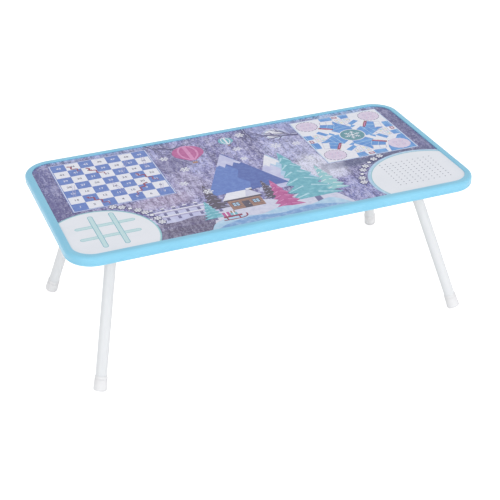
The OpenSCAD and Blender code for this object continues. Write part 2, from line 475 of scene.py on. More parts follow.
class Ink(Enum):
    """The inks of the print."""

    ROYAL = PrintInk("ink_royal_blue", ink(72, 108, 188), ink(108, 142, 208), 0.6, 7)
    DEEP_BLUE = PrintInk("ink_deep_blue", ink(54, 84, 166), ink(84, 116, 188), 0.6, 7)
    WHITE = PrintInk("ink_white", ink(230, 231, 241), ink(214, 216, 230))
    PANEL = PrintInk("ink_panel", ink(228, 231, 239), ink(221, 226, 234), 0.5, 30)
    SKY = PrintInk("ink_sky", ink(58, 128, 206), ink(112, 178, 232), 0.7, 12)
    NIGHT = PrintInk("ink_night", ink(58, 54, 110), ink(84, 80, 136), 0.6, 6)
    BROOK = PrintInk("ink_brook", ink(104, 150, 206), ink(164, 196, 230), 0.8, 9)
    NAVY = PrintInk("ink_navy", ink(44, 48, 96), ink(64, 68, 116), 0.4)
    TEAL = PrintInk("ink_teal", ink(82, 164, 184), ink(134, 198, 212), 0.7, 8)
    SEA = PrintInk("ink_sea", ink(64, 132, 150), ink(98, 162, 172), 0.6, 8)
    FROSTED_TEAL = PrintInk("ink_frosted_teal", ink(158, 206, 222), ink(196, 224, 236), 0.8)
    PALE_TEAL = PrintInk("ink_pale_teal", ink(190, 219, 224), ink(176, 210, 216), 0.6, 3)
    EDGE_TEAL = PrintInk("ink_edge_teal", ink(128, 190, 200), ink(158, 208, 214))
    ICE = PrintInk("ink_ice", ink(158, 196, 226), ink(196, 220, 240), 0.7, 8)
    SNOW = PrintInk("ink_snow", ink(208, 209, 230), ink(186, 188, 216), 0.8, 7)
    LAVENDER = PrintInk("ink_lavender", ink(158, 152, 194), ink(184, 182, 216), 0.8, 6)
    HAZE = PrintInk("ink_haze", ink(184, 186, 224), ink(208, 212, 238), 0.8, 14)
    PLUM = PrintInk("ink_plum", ink(58, 48, 74), ink(84, 74, 104), 0.6, 7)
    BARK = PrintInk("ink_bark", ink(92, 92, 142), ink(120, 120, 166), 0.7, 6)
    MAGENTA = PrintInk("ink_magenta", ink(172, 62, 138), ink(200, 106, 168), 0.6, 7)
    ROSE = PrintInk("ink_rose", ink(204, 124, 180), ink(220, 156, 200))
    RED = PrintInk("ink_red", ink(128, 16, 68), ink(158, 44, 96), 0.5)
    BLUSH = PrintInk("ink_blush", ink(216, 203, 226), ink(205, 190, 216), 0.8, 6)
    GILT = PrintInk("ink_gilt", ink(226, 214, 180), ink(206, 218, 206), 0.6, 3)
    AMBER = PrintInk("ink_amber", ink(148, 106, 92), ink(178, 138, 116), 0.7, 4)
    GREY = PrintInk("ink_grey", ink(128, 134, 150), ink(148, 153, 168), 0.4)


@dataclass(frozen=True)
class Blot:
    """A soft patch of colour in the printed background, in millimetres."""

    x: float
    y: float
    wide: float
    tall: float
    colour: Colour
    share: float


DUSK = ink(66, 62, 134)
MIST = ink(106, 104, 178)
FROST = ink(160, 164, 222)
SNOWBANK = ink(216, 214, 244)
SHADE = ink(40, 30, 86)
HEATH = ink(172, 152, 186)


@dataclass(frozen=True)
class WinterPrint(Finish):
    """The frosty wood behind the games.

    Args:
        blots: the soft patches under the frost, from the back to the front.
        shadows: the soft patches over it.
    """

    blots: tuple[Blot, ...] = (
        Blot(-275, 60, 70, 130, DUSK, 0.7),
        Blot(-280, -6, 40, 60, ink(66, 54, 122), 0.6),
        Blot(-96, 110, 34, 30, FROST, 0.3),
        Blot(-96, 62, 36, 44, ink(92, 84, 150), 0.7),
        Blot(-88, 0, 34, 40, ink(180, 170, 208), 0.65),
        Blot(-135, -36, 52, 24, HEATH, 0.8),
        Blot(288, 50, 40, 130, DUSK, 0.95),
        Blot(200, -30, 90, 24, ink(58, 62, 120), 0.95),
        Blot(88, 105, 56, 44, FROST, 0.4),
        Blot(90, 40, 44, 50, ink(176, 182, 228), 0.8),
        Blot(104, -24, 42, 46, ink(228, 232, 250), 0.95),
        Blot(-110, -112, 100, 40, ink(88, 76, 122), 0.92),
        Blot(-110, -134, 100, 14, SHADE, 0.35),
        Blot(134, -112, 34, 36, ink(104, 116, 190), 0.8),
        Blot(-170, 146, 150, 15, ink(144, 168, 218), 0.75),
        Blot(200, 146, 130, 16, ink(122, 182, 232), 0.9),
    )
    shadows: tuple[Blot, ...] = (
        Blot(-296, 60, 40, 110, ink(66, 74, 150), 0.38),
        Blot(-290, -20, 40, 60, ink(56, 48, 122), 0.5),
        Blot(-94, 66, 26, 36, ink(76, 70, 130), 0.38),
        Blot(294, 40, 34, 120, ink(58, 64, 130), 0.5),
        Blot(196, -30, 96, 16, ink(42, 56, 112), 0.7),
        Blot(108, -28, 36, 34, ink(222, 222, 246), 0.16),
        Blot(-112, -106, 64, 18, ink(70, 56, 96), 0.45),
        Blot(-118, -132, 80, 18, ink(60, 46, 86), 0.55),
        Blot(-168, 150, 150, 14, ink(130, 158, 220), 0.3),
        Blot(96, 118, 60, 30, ink(140, 158, 214), 0.25),
    )

    def inputs(self, s: Surface) -> dict[str, Feed]:
        """Trunks, streaks and frost crystals, stained by the soft patches.

        Args:
            s: the surface.

        Returns:
            The shader's inputs.
        """
        wander_x = s.axis("X") + (s.noise(34, 3) - 0.5) * 40
        wander_y = s.axis("Y") + (s.noise(27, 3) - 0.5) * 32

        def stained(colour: Sock, blots: Iterable[Blot]) -> Sock:
            """Lays soft patches over a colour.

            Args:
                colour: the colour.
                blots: the patches, from the back to the front.

            Returns:
                The stained colour.
            """
            for blot in blots:
                across = (wander_x - blot.x) / blot.wide
                along = (wander_y - blot.y) / blot.tall
                inside = 1 - (across * across + along * along).rise(0.25, 1.3)
                colour = s.mix(inside * blot.share, colour, blot.colour)
            return colour

        trunks = s.noise(24, 5, (1, 0.2, 1), 0.6)
        streaks = s.noise(6.5, 4, (1, 0.16, 1), 0.65)
        crystals = s.noise(8, 8, (1, 0.6, 1), 0.78)
        rime = s.noise(2.4, 3, (1, 0.6, 1), 0.7)
        stops = [(0.36, DUSK), (0.5, MIST), (0.64, FROST)]
        colour = stained(s.node("ShaderNodeValToRGB", {"stops": stops}, {0: trunks}), self.blots)
        banks = (1 - s.axis("Y").rise(-92, -86)) * s.noise(9, 3, (0.06, 1, 1)).rise(0.42, 0.62)
        colour = s.mix(banks * 0.4, colour, MIST)
        for noise, pale, dark in ((streaks, 0.4, 0.45), (crystals, 0.55, 0.6), (rime, 0.4, 0.45)):
            colour = s.mix(noise.rise(0.5, 0.62) * pale, colour, SNOWBANK)
            colour = s.mix((1 - noise).rise(0.5, 0.62) * dark, colour, SHADE)
        return laminated(s, stained(colour, self.shadows))


@dataclass(frozen=True)
class Finishes:
    """The finishes of the table's parts."""

    edge: Finish = MouldedPlastic("sky_blue_moulding", ink(132, 198, 225), ink(120, 188, 219), 0.5, 0.33)
    foot: Finish = MouldedPlastic(
        "white_foot_plastic", ink(223, 223, 225), ink(213, 214, 217), 0.4, 0.46, 9.0
    )
    clip: Finish = MouldedPlastic("white_clip_plastic", ink(235, 235, 235), ink(224, 225, 227), 0.4, 0.45)
    tube: Finish = PowderCoat(
        "white_powder_coat", ink(216, 218, 221), ink(222, 225, 227), ink(188, 190, 193)
    )
    screw: Finish = ZincSteel("zinc_steel", (0.66, 0.67, 0.69), (0.50, 0.52, 0.55))
    board: Finish = Fibreboard("fibreboard", ink(150, 113, 74), ink(187, 151, 108))
    backing: Finish = BackingLaminate(
        "backing_laminate", ink(236, 236, 233), ink(227, 227, 224), ink(212, 211, 207)
    )
    scenery: Finish = WinterPrint("winter_wood_print")


def ring_points(
    x: float, y: float, wide: float, tall: float, count: int = 64, start: float = 0.0
) -> list[Point]:
    """Points round an ellipse, anticlockwise from the start, an angle in degrees."""
    turns = [math.radians(start + 360 * k / count) for k in range(count)]
    return [(x + wide * math.cos(t), y + tall * math.sin(t)) for t in turns]


def box_points(x0: float, y0: float, x1: float, y1: float) -> list[Point]:
    """The corners of an upright rectangle, anticlockwise."""
    return [(x0, y0), (x1, y0), (x1, y1), (x0, y1)]


def arc_points(x: float, y: float, radius: float, start: float, end: float, steps: int) -> list[Point]:
    """Points along an arc in a number of steps, from one angle in degrees to another."""
    turns = [math.radians(start + (end - start) * k / steps) for k in range(steps + 1)]
    return [(x + radius * math.cos(t), y + radius * math.sin(t)) for t in turns]


def rounded_box(half_l: float, half_w: float, radius: float, steps: int = 12) -> list[Point]:
    """The outline of a rectangle with round corners, about the middle of the table.

    Args:
        half_l: half its length.
        half_w: half its width.
        radius: its corner radius.
        steps: the steps in each corner.

    Returns:
        The points, anticlockwise.
    """
    points: list[Point] = []
    for turn, (x, y) in enumerate(QUARTERS):
        middle = x * (half_l - radius), y * (half_w - radius)
        points += arc_points(*middle, radius, 90 * turn, 90 * turn + 90, steps)
    return points


def clipped(shape: Points, window: Points) -> list[Point]:
    """Cuts a shape to a window without hollows.

    Args:
        shape: the shape's points.
        window: the window's points, anticlockwise.

    Returns:
        What is left of the shape.
    """
    left = list(shape)
    for a, b in zip(window, [*window[1:], window[0]], strict=True):
        if math.dist(a, b) < 1e-9 or not left:
            continue

        def depth(p: Point, a: Point = a, b: Point = b) -> float:
            """How far inside the window's side the point is."""
            return (b[0] - a[0]) * (p[1] - a[1]) - (b[1] - a[1]) * (p[0] - a[0])

        kept: list[Point] = []
        for p, q in zip(left, [*left[1:], left[0]], strict=True):
            dp, dq = depth(p), depth(q)
            if dp >= 0:
                kept.append(p)
            if dp * dq < 0:
                t = dp / (dp - dq)
                kept.append((p[0] + t * (q[0] - p[0]), p[1] + t * (q[1] - p[1])))
        left = kept
    return left


def stroke(path: Points, widths: Sequence[float]) -> list[Point]:
    """The outline of a line of changing width.

    Args:
        path: the points along it.
        widths: its width at each point.

    Returns:
        The outline's points, anticlockwise.
    """
    left: list[Point] = []
    right: list[Point] = []
    last = len(path) - 1
    for k, (x, y) in enumerate(path):
        ax, ay = path[max(k - 1, 0)]
        bx, by = path[min(k + 1, last)]
        length = math.hypot(bx - ax, by - ay) or 1.0
        nx, ny = -(by - ay) / length, (bx - ax) / length
        half = widths[k] / 2
        left.append((x + nx * half, y + ny * half))
        right.append((x - nx * half, y - ny * half))
    return right + left[::-1]


def bend_round(points: Points, steps: int = 6) -> list[Point]:
    """Rounds a line of points into a soft curve through them.

    Args:
        points: the points.
        steps: the steps between two of them.

    Returns:
        The finer line.
    """
    spots = [Vector(p) for p in points]
    fine: list[Point] = []
    for k in range(len(spots) - 1):
        before, a, b = spots[max(k - 1, 0)], spots[k], spots[k + 1]
        after = spots[min(k + 2, len(spots) - 1)]
        for step in range(steps):
            t = step / steps
            spot = 0.5 * (
                2 * a
                + (b - before) * t
                + (2 * before - 5 * a + 4 * b - after) * t * t
                + (3 * a - before - 3 * b + after) * t**3
            )
            fine.append((spot.x, spot.y))
    fine.append((spots[-1].x, spots[-1].y))
    return fine


def meshed(made: bmesh.types.BMesh, name: str) -> Mesh:
    """Turns worked geometry into a mesh.

    Args:
        made: the geometry, which is freed.
        name: the mesh's name.

    Returns:
        The mesh.
    """
    mesh = bpy.data.meshes.new(name)
    made.to_mesh(mesh)
    made.free()
    return mesh


def linked(name: str, data: bpy.types.ID) -> bpy.types.Object:
    """Puts new data into the scene as an object.

    Args:
        name: the object's name.
        data: its mesh, curve, lamp or camera.

    Returns:
        The object.
    """
    item = bpy.data.objects.new(name, data)
    bpy.context.scene.collection.objects.link(item)
    return item


def taken(carrier: bpy.types.Object) -> Mesh:
    """Takes an object out of the scene as a plain mesh, with its modifiers worked in.

    Args:
        carrier: the object, which is removed with its modifiers.

    Returns:
        The mesh.
    """
    seen = bpy.context.evaluated_depsgraph_get()
    mesh = bpy.data.meshes.new_from_object(carrier.evaluated_get(seen))
    carrier.modifiers.clear()
    bpy.data.objects.remove(carrier)
    return mesh


def smooth_between(mesh: Mesh, degrees: float) -> None:
    """Shades a mesh smoothly, with edges sharper than the angle kept crisp."""
    mesh.polygons.foreach_set("use_smooth", [True] * len(mesh.polygons))
    mesh.set_sharp_from_angle(angle=math.radians(degrees))


@cache
def paint(finish: Finish) -> bpy.types.Material:
    """The material of a finish, built once."""
    return finish.material()


def placed(
    name: str, mesh: Mesh, body: str, replaced: Sequence[str] = (), finish: Finish | None = None
) -> None:
    """Puts a mesh into the scene as a piece of the table.

    Args:
        name: the piece's name.
        mesh: its shape, in place.
        body: the body that it moves with.
        replaced: the CAD nodes that it stands for.
        finish: its finish, where the mesh has none yet.
    """
    mesh.name = name
    if finish is not None:
        mesh.materials.clear()
        mesh.materials.append(paint(finish))
    piece = linked(name, mesh)
    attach(piece, body)
    if replaced:
        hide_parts(*replaced)
    log.info("%s: %d faces on %s", name, len(mesh.polygons), body)


class PrintSheet:
    """Collects printed shapes in layers of ink, each as a thin closed solid on the sheet."""

    layer = 0.02 * MM
    sunk = 0.05 * MM

    def __init__(self, base: float, window: Points) -> None:
        """Starts an empty print.

        Args:
            base: the height of the sheet's face, in metres.
            window: the part of the sheet that shows inside the edge frame.
        """
        self.base = base
        self.window = window
        self.mesh = bmesh.new()
        self.inks: list[Ink] = []

    def height(self, level: float) -> float:
        """The top of a layer, in metres."""
        return self.base + self.layer * level

    def slot(self, colour: Ink) -> int:
        """Finds the material slot of an ink, and makes it when the ink is first used.

        Args:
            colour: the ink.

        Returns:
            The slot's number.
        """
        if colour not in self.inks:
            self.inks.append(colour)
        return self.inks.index(colour)

    def shape(self, points: Points, colour: Ink, level: float, window: Points | None = None) -> None:
        """Prints one filled outline.

        Args:
            points: the outline, in millimetres.
            colour: its ink.
            level: its layer.
            window: what it is cut to, besides the sheet's own edge.
        """
        outline = list(points)
        for cutter in (window, self.window):
            if cutter is not None:
                outline = clipped(outline, cutter)
        outline = [p for k, p in enumerate(outline) if math.dist(p, outline[k - 1]) > 1e-4]
        if len(outline) < 3:
            return
        pairs = zip(outline, [*outline[1:], outline[0]], strict=True)
        area = sum(p[0] * q[1] - q[0] * p[1] for p, q in pairs)
        if area < 0:
            outline.reverse()
        low, high = self.base - self.sunk, self.height(level)
        bottom = [self.mesh.verts.new((x * MM, y * MM, low)) for x, y in outline]
        top = [self.mesh.verts.new((x * MM, y * MM, high)) for x, y in outline]
        slot = self.slot(colour)
        for a, b, c in tessellate_polygon([[Vector((x, y, 0)) for x, y in outline]]):
            turn = (Vector(outline[b]) - Vector(outline[a])).cross(Vector(outline[c]) - Vector(outline[a]))
            order = (a, b, c) if turn > 0 else (a, c, b)
            self.mesh.faces.new([top[k] for k in order]).material_index = slot
            self.mesh.faces.new([bottom[k] for k in order[::-1]]).material_index = slot
        for k in range(len(outline)):
            n = (k + 1) % len(outline)
            self.mesh.faces.new([bottom[k], bottom[n], top[n], top[k]]).material_index = slot

    def line(
        self, path: Points, wide: float, colour: Ink, level: float, window: Points | None = None
    ) -> None:
        """Prints a line of one width along a path, cut to a window where there is one."""
        self.shape(stroke(path, [wide] * len(path)), colour, level, window)

    def disc(
        self, spot: Point, radius: float, colour: Ink, level: float, count: int = 64, start: float = 0
    ) -> None:
        """Prints a disc, or a polygon where it has few points, turned by a start in degrees."""
        self.shape(ring_points(*spot, radius, radius, count, start), colour, level)

    def group(self, spot: Point, scale: float, shapes: Iterable[tuple[Points, Ink, float]]) -> None:
        """Prints outlines that are drawn round their own middle, enlarged, at a spot."""
        for points, colour, level in shapes:
            self.shape([(spot[0] + x * scale, spot[1] + y * scale) for x, y in points], colour, level)

    def piece(self, name: str) -> None:
        """Turns the print into a piece of the table's top.

        Args:
            name: the piece's name.
        """
        mesh = meshed(self.mesh, name)
        for colour in self.inks:
            mesh.materials.append(paint(colour.value))
        placed(name, mesh, TABLE_TOP)


@dataclass
class Design:
    """Something that is printed on the sheet.

    Args:
        sheet: the print that it joins.
    """

    sheet: PrintSheet

    def snowflake(
        self, spot: Point, size: float, colour: Ink, level: float, turn: float = 0.0, bold: float = 0.085
    ) -> None:
        """Prints a six-armed snowflake.

        Args:
            spot: its middle.
            size: its radius.
            colour: its ink.
            level: its layer.
            turn: how far it is turned, in degrees.
            bold: the width of its arms, as a share of its radius.
        """
        thin = size * bold
        root = Vector(spot)
        self.sheet.disc(spot, size * 0.17, colour, level, 6, turn)
        for arm in range(6):
            a = math.radians(turn + 60 * arm)
            ray = Vector((math.cos(a), math.sin(a)))
            self.sheet.line([root + ray * size * 0.1, root + ray * size], thin, colour, level + 0.1)
            for far, long in ((0.42, 0.26), (0.68, 0.2)):
                for side, more in ((-1, 0.2), (1, 0.3)):
                    b = a + side * math.radians(55)
                    twig = Vector((math.cos(b), math.sin(b)))
                    start = root + ray * size * far + twig * thin * 0.5
                    ends = [start, start + twig * size * long]
                    self.sheet.shape(stroke(ends, [thin * 0.9, thin * 0.8]), colour, level + more)


class Growth(NodeTree):
    """A Geometry Nodes tree with named inputs that is run once on a mesh."""

    KINDS = {
        float: "NodeSocketFloat",
        int: "NodeSocketInt",
        tuple: "NodeSocketVector",
        bpy.types.Material: "NodeSocketMaterial",
        bpy.types.Object: "NodeSocketObject",
    }

    def __init__(self, name: str, **values: object) -> None:
        """Makes the tree and its inputs.

        Args:
            name: the tree's name.
            values: the inputs, each with what it is set to.
        """
        group = bpy.data.node_groups.new(name, "GeometryNodeTree")
        super().__init__(group)
        group.interface.new_socket("Geometry", in_out="INPUT", socket_type="NodeSocketGeometry")
        self.set_to: dict[str, object] = {}
        for key, value in values.items():
            kind = next(k for t, k in self.KINDS.items() if isinstance(value, t))
            label = key.replace("_", " ").capitalize()
            socket = group.interface.new_socket(label, in_out="INPUT", socket_type=kind)
            self.set_to[socket.identifier] = value
        group.interface.new_socket("Geometry", in_out="OUTPUT", socket_type="NodeSocketGeometry")
        self.entry = group.nodes.new("NodeGroupInput")

    def given(self, name: str) -> Sock:
        """The socket of a named input."""
        return Sock(self, self.entry.outputs[name])

    def grid(self) -> Sock:
        """Lays a flat grid that fills Across by Along, with Count points each way.

        Returns:
            The grid.
        """
        count = self.given("Count")
        across, along = self.given("Across"), self.given("Along")
        inputs = {"Size X": across, "Size Y": along, "Vertices X": count, "Vertices Y": count}
        return self.node("GeometryNodeMeshGrid", None, inputs)

    def chance(self, low: float, high: float) -> Sock:
        """A random number for each instance, from low to high, by the input Seed."""
        inputs = {2: low, 3: high, "Seed": self.given("Seed")}
        return self.node("FunctionNodeRandomValue", {"data_type": "FLOAT"}, inputs, 1)

    def run(self, geometry: Sock, material: Sock | None, start: Mesh | None = None) -> Mesh:
        """Ends the tree in real geometry with its material, and runs it.

        Args:
            geometry: what the tree makes.
            material: its material, where it has none yet.
            start: the mesh that the tree begins with.

        Returns:
            The made mesh.
        """
        made = self.node("GeometryNodeRealizeInstances", None, {0: geometry})
        if material is not None:
            made = self.node("GeometryNodeSetMaterial", None, {"Geometry": made, "Material": material})
        self.node("NodeGroupOutput", None, {0: made})
        carrier = linked("growth", start or bpy.data.meshes.new("none"))
        modifier = carrier.modifiers.new("growth", "NODES")
        modifier.node_group = self.tree
        for identifier, value in self.set_to.items():
            modifier[identifier] = value
        return taken(carrier)


def wire(points: Sequence[Vector], joined: bool) -> Mesh:
    """A mesh of loose points, or of a line through them.

    Args:
        points: the points, in metres.
        joined: whether a line runs through them.

    Returns:
        The mesh.
    """
    mesh = bpy.data.meshes.new("wire")
    edges = [(k, k + 1) for k in range(len(points) - 1)] if joined else []
    mesh.from_pydata([tuple(p) for p in points], edges, [])
    return mesh


def lathe(profile: Points, sides: int, place: Matrix, crisp: float = 35.0) -> Mesh:
    """Turns a closed profile round the Z axis.

    Args:
        profile: radius and height of each point, in millimetres; a radius of 0 closes the shape.
        sides: the steps round.
        place: where the turned shape goes.
        crisp: the angle from which an edge stays crisp, in degrees.

    Returns:
        The mesh.
    """
    made = bmesh.new()
    rings: list[list[bmesh.types.BMVert]] = []
    for radius, height in profile:
        if radius:
            circle = ring_points(0, 0, radius * MM, radius * MM, sides)
            rings.append([made.verts.new((x, y, height * MM)) for x, y in circle])
        else:
            rings.append([made.verts.new((0, 0, height * MM))] * sides)
    for lower, upper in zip(rings, rings[1:], strict=False):
        for k in range(sides):
            n = (k + 1) % sides
            corners = list(dict.fromkeys([lower[k], lower[n], upper[n], upper[k]]))
            if len(corners) > 2:
                made.faces.new(corners)
    bmesh.ops.recalc_face_normals(made, faces=made.faces)
    made.transform(place)
    mesh = meshed(made, "lathe")
    smooth_between(mesh, crisp)
    return mesh


def joined(meshes: Sequence[Mesh]) -> Mesh:
    """Puts several meshes into one.

    Args:
        meshes: the meshes.

    Returns:
        The one mesh.
    """
    made = bmesh.new()
    for mesh in meshes:
        made.from_mesh(mesh)
    return meshed(made, "joined")


@dataclass
class EdgeFrame:
    """The moulded frame round the board, with a lip over it and one under it."""

    length: float = 600.0
    width: float = 304.0
    corner: float = 40.0
    corner_steps: int = 24
    wall: float = 4.0
    lip: float = 10.5
    upper: float = 1.6
    lower: float = 2.0
    round_top: float = 5.0
    round_bottom: float = 3.0
    lip_soft: float = 0.8
    parting: float = 1.2
    seam: tuple[Point, ...] = ((0, 0), (0.25, 0.2), (0.25, 0.45), (0, 0.65))
    crisp: float = 32.0

    def opening(self, inset: float = 0.04) -> list[Point]:
        """The outline of the board that shows inside the upper lip."""
        edge = self.lip + inset
        return rounded_box(self.length / 2 - edge, self.width / 2 - edge, self.corner - edge)

    def section(self, height: float) -> list[Point]:
        """The frame's section.

        Args:
            height: its height, in millimetres.

        Returns:
            Distance in from the outer face and height above the underside, anticlockwise round the section.
        """
        r, q, soft = self.round_top, self.round_bottom, self.lip_soft
        return [
            (self.lip, 0),
            *arc_points(q, q, q, 270, 180, 8),
            *((deep, q + self.parting + up) for deep, up in self.seam),
            *arc_points(r, height - r, r, 180, 90, 14),
            *arc_points(self.lip - soft, height - soft, soft, 90, 0, 5),
            (self.lip, height - self.upper),
            (self.wall, height - self.upper),
            (self.wall, self.lower),
            (self.lip, self.lower),
        ]

    def build(self, finish: Finish) -> None:
        """Sweeps the section round the top.

        Args:
            finish: the frame's plastic.
        """
        low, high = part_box("edge_frame")
        section = self.section((high.z - low.z) / MM)
        made = bmesh.new()
        rings: list[list[bmesh.types.BMVert]] = []
        for turn, (x, y) in enumerate(QUARTERS):
            middle = Vector((x * (self.length / 2 - self.corner), y * (self.width / 2 - self.corner)))
            for out in arc_points(0, 0, 1, 90 * turn, 90 * turn + 90, self.corner_steps):
                ray = Vector(out)
                spots = [(middle + ray * self.corner - ray * inset) * MM for inset, _ in section]
                heights = [low.z + h * MM for _, h in section]
                rings.append([made.verts.new((*spot, z)) for spot, z in zip(spots, heights, strict=True)])
        for ring, after in zip(rings, [*rings[1:], rings[0]], strict=True):
            for k in range(len(section)):
                n = (k + 1) % len(section)
                made.faces.new([ring[k], ring[n], after[n], after[k]])
        bmesh.ops.recalc_face_normals(made, faces=made.faces)
        mesh = meshed(made, "edge_moulding")
        smooth_between(mesh, self.crisp)
        placed("edge_moulding", mesh, TABLE_TOP, ["edge_frame"], finish)


def figure(digits: str, tall: float, bold: float = 0.1, thick: float = 0.012) -> Mesh:
    """A plain number as a thin solid, centred on the origin, with its sizes in millimetres.

    Args:
        digits: the number.
        tall: how tall its digits are.
        bold: how much they are thickened.
        thick: half the solid's height.

    Returns:
        The mesh.
    """
    curve = bpy.data.curves.new("figure", "FONT")
    curve.body = digits
    curve.align_x = "CENTER"
    curve.align_y = "CENTER"
    curve.size = tall * DIGIT_EM * MM
    curve.offset = bold * MM
    curve.extrude = thick * MM
    curve.resolution_u = 2
    mesh = taken(linked("figure", curve))
    bpy.data.curves.remove(curve)
    return mesh


@dataclass
class SnakesBoard(Design):
    """Snakes and ladders, seven squares each way."""

    x: float = -260.0
    y: float = -18.1
    wide: float = 143.1
    tall: float = 146.2
    count: int = 7
    level: int = 6
    border: float = 3.0
    digits: float = 5.3
    ladder_half: float = 1.9
    rail: float = 0.55
    rung: float = 0.45
    rung_gap: float = 4.2
    body: float = 2.7
    taper: float = 1.5
    head: Point = (2.0, 1.7)
    eye: float = 0.42
    wave: float = 6.5
    swing: float = 2.6
    snakes: tuple[tuple[Point, ...], ...] = (
        ((-236, 119), (-221, 99)),
        ((-211, 104), (-202, 91), (-189, 77)),
        ((-149, 59), (-136, 45), (-125, 29)),
        ((-144, 27), (-156, 12), (-168, -4)),
        ((-233, 16), (-219, 1), (-208, -14)),
    )
    ladders: tuple[tuple[Point, Point], ...] = (
        ((-250, 22), (-243, 60)),
        ((-180, 10), (-190, 50)),
        ((-129, 72), (-125, 112)),
        ((-168, 68), (-150, 108)),
        ((-131, -8), (-124, 18)),
    )

    def cell(self) -> Vector:
        """The size of one square, in metres."""
        return Vector((self.wide, self.tall)) / self.count * MM

    def squares(self) -> None:
        """Prints the squares, blue and white in turn."""
        size = self.cell()
        thick = (self.level - 1) * self.sheet.layer + self.sheet.sunk
        g = Growth(
            "game_squares",
            square=(size.x, size.y, thick),
            across=self.wide * MM - size.x,
            along=self.tall * MM - size.y,
            count=self.count,
            blue=paint(Ink.ROYAL.value),
            white=paint(Ink.WHITE.value),
        )
        spots = g.grid()
        square = g.node("GeometryNodeMeshCube", None, {"Size": g.given("Square")})
        odd = g.node("GeometryNodeInputIndex") % 2.0
        both = g.node("GeometryNodeJoinGeometry")
        for name, chosen in (("Blue", 1 - odd), ("White", odd)):
            inputs = {"Geometry": square, "Material": g.given(name)}
            dressed = g.node("GeometryNodeSetMaterial", None, inputs)
            inputs = {"Points": spots, "Selection": chosen, "Instance": dressed}
            g.feed(both.socket.node.inputs[0], g.node("GeometryNodeInstanceOnPoints", None, inputs))
        mesh = g.run(both, None)
        middle = (self.x + self.wide / 2) * MM, (self.y + self.tall / 2) * MM
        mesh.transform(Matrix.Translation((*middle, self.sheet.height(self.level - 1) - thick / 2)))
        placed("snakes_squares", mesh, TABLE_TOP)

    def numbers(self) -> None:
        """Prints the plain numbers, back and forth from the lower left."""
        size = self.cell()
        parts = {Ink.WHITE: [], Ink.NAVY: []}
        for number in range(self.count**2):
            row, step = divmod(number, self.count)
            column = self.count - 1 - step if row % 2 else step
            x = self.x * MM + (column + 0.5) * size.x
            y = self.y * MM + (row + 0.5) * size.y
            mesh = figure(str(number + 1), self.digits)
            mesh.transform(Matrix.Translation((x, y, self.sheet.height(self.level - 0.4))))
            parts[Ink.NAVY if (row + column) % 2 else Ink.WHITE].append(mesh)
        for colour, meshes in parts.items():
            name = f"snakes_numbers_{colour.name.lower()}"
            placed(name, joined(meshes), TABLE_TOP, (), colour.value)

    def figures(self) -> None:
        """Prints the border, the ladders and the snakes."""
        x1, y1 = self.x + self.wide, self.y + self.tall
        rings = ((self.border, Ink.ROYAL), (self.border - 0.9, Ink.WHITE), (self.border - 1.9, Ink.ROYAL))
        for level, (grow, colour) in enumerate(rings, 2):
            points = box_points(self.x - grow, self.y - grow, x1 + grow, y1 + grow)
            self.sheet.shape(points, colour, level)
        for low, high in self.ladders:
            self.ladder(Vector(low), Vector(high))
        for number, path in enumerate(self.snakes):
            self.snake([Vector(p) for p in path], number)

    def ladder(self, low: Vector, high: Vector) -> None:
        """Prints one ladder.

        Args:
            low: the middle of its foot.
            high: the middle of its top.
        """
        along = (high - low).normalized()
        side = Vector((-along.y, along.x)) * self.ladder_half
        for k in (-1, 1):
            self.sheet.line([low + side * k, high + side * k], self.rail, Ink.LAVENDER, self.level + 1)
        steps = int((high - low).length // self.rung_gap)
        for k in range(1, steps):
            spot = low + (high - low) * (k / steps)
            ends = [spot - side * 0.82, spot + side * 0.82]
            self.sheet.line(ends, self.rung, Ink.LAVENDER, self.level + 1)

    def snake(self, path: list[Vector], number: int) -> None:
        """Prints one winding snake, head first.

        Args:
            path: the points that it winds along.
            number: which snake it is.
        """
        spans = list(zip(path, path[1:], strict=False))
        total = sum((b - a).length for a, b in spans)
        bends = max(3, round(total / self.wave))
        points: list[Point] = []
        widths: list[float] = []
        steps = bends * 8
        for k in range(steps + 1):
            far = total * k / steps
            for a, b in spans:
                length = (b - a).length
                if far <= length or (a, b) == spans[-1]:
                    along = (b - a) / length
                    spot = a + along * far
                    break
                far -= length
            fade = min(1, k / 6, (steps - k) / 6)
            swing = self.swing * math.sin(math.pi * bends * k / steps + number) * fade
            points.append((spot.x - along.y * swing, spot.y + along.x * swing))
            widths.append(self.body - self.taper * (k / steps) ** 1.5)
        self.sheet.shape(stroke(points, widths), Ink.RED, self.level + 2)
        x, y = points[0]
        self.sheet.shape(ring_points(x, y, *self.head, 16), Ink.RED, self.level + 3)
        for k in (-1, 1):
            self.sheet.disc((x + 0.8 * k, y + 0.5), self.eye, Ink.WHITE, self.level + 4, 8)


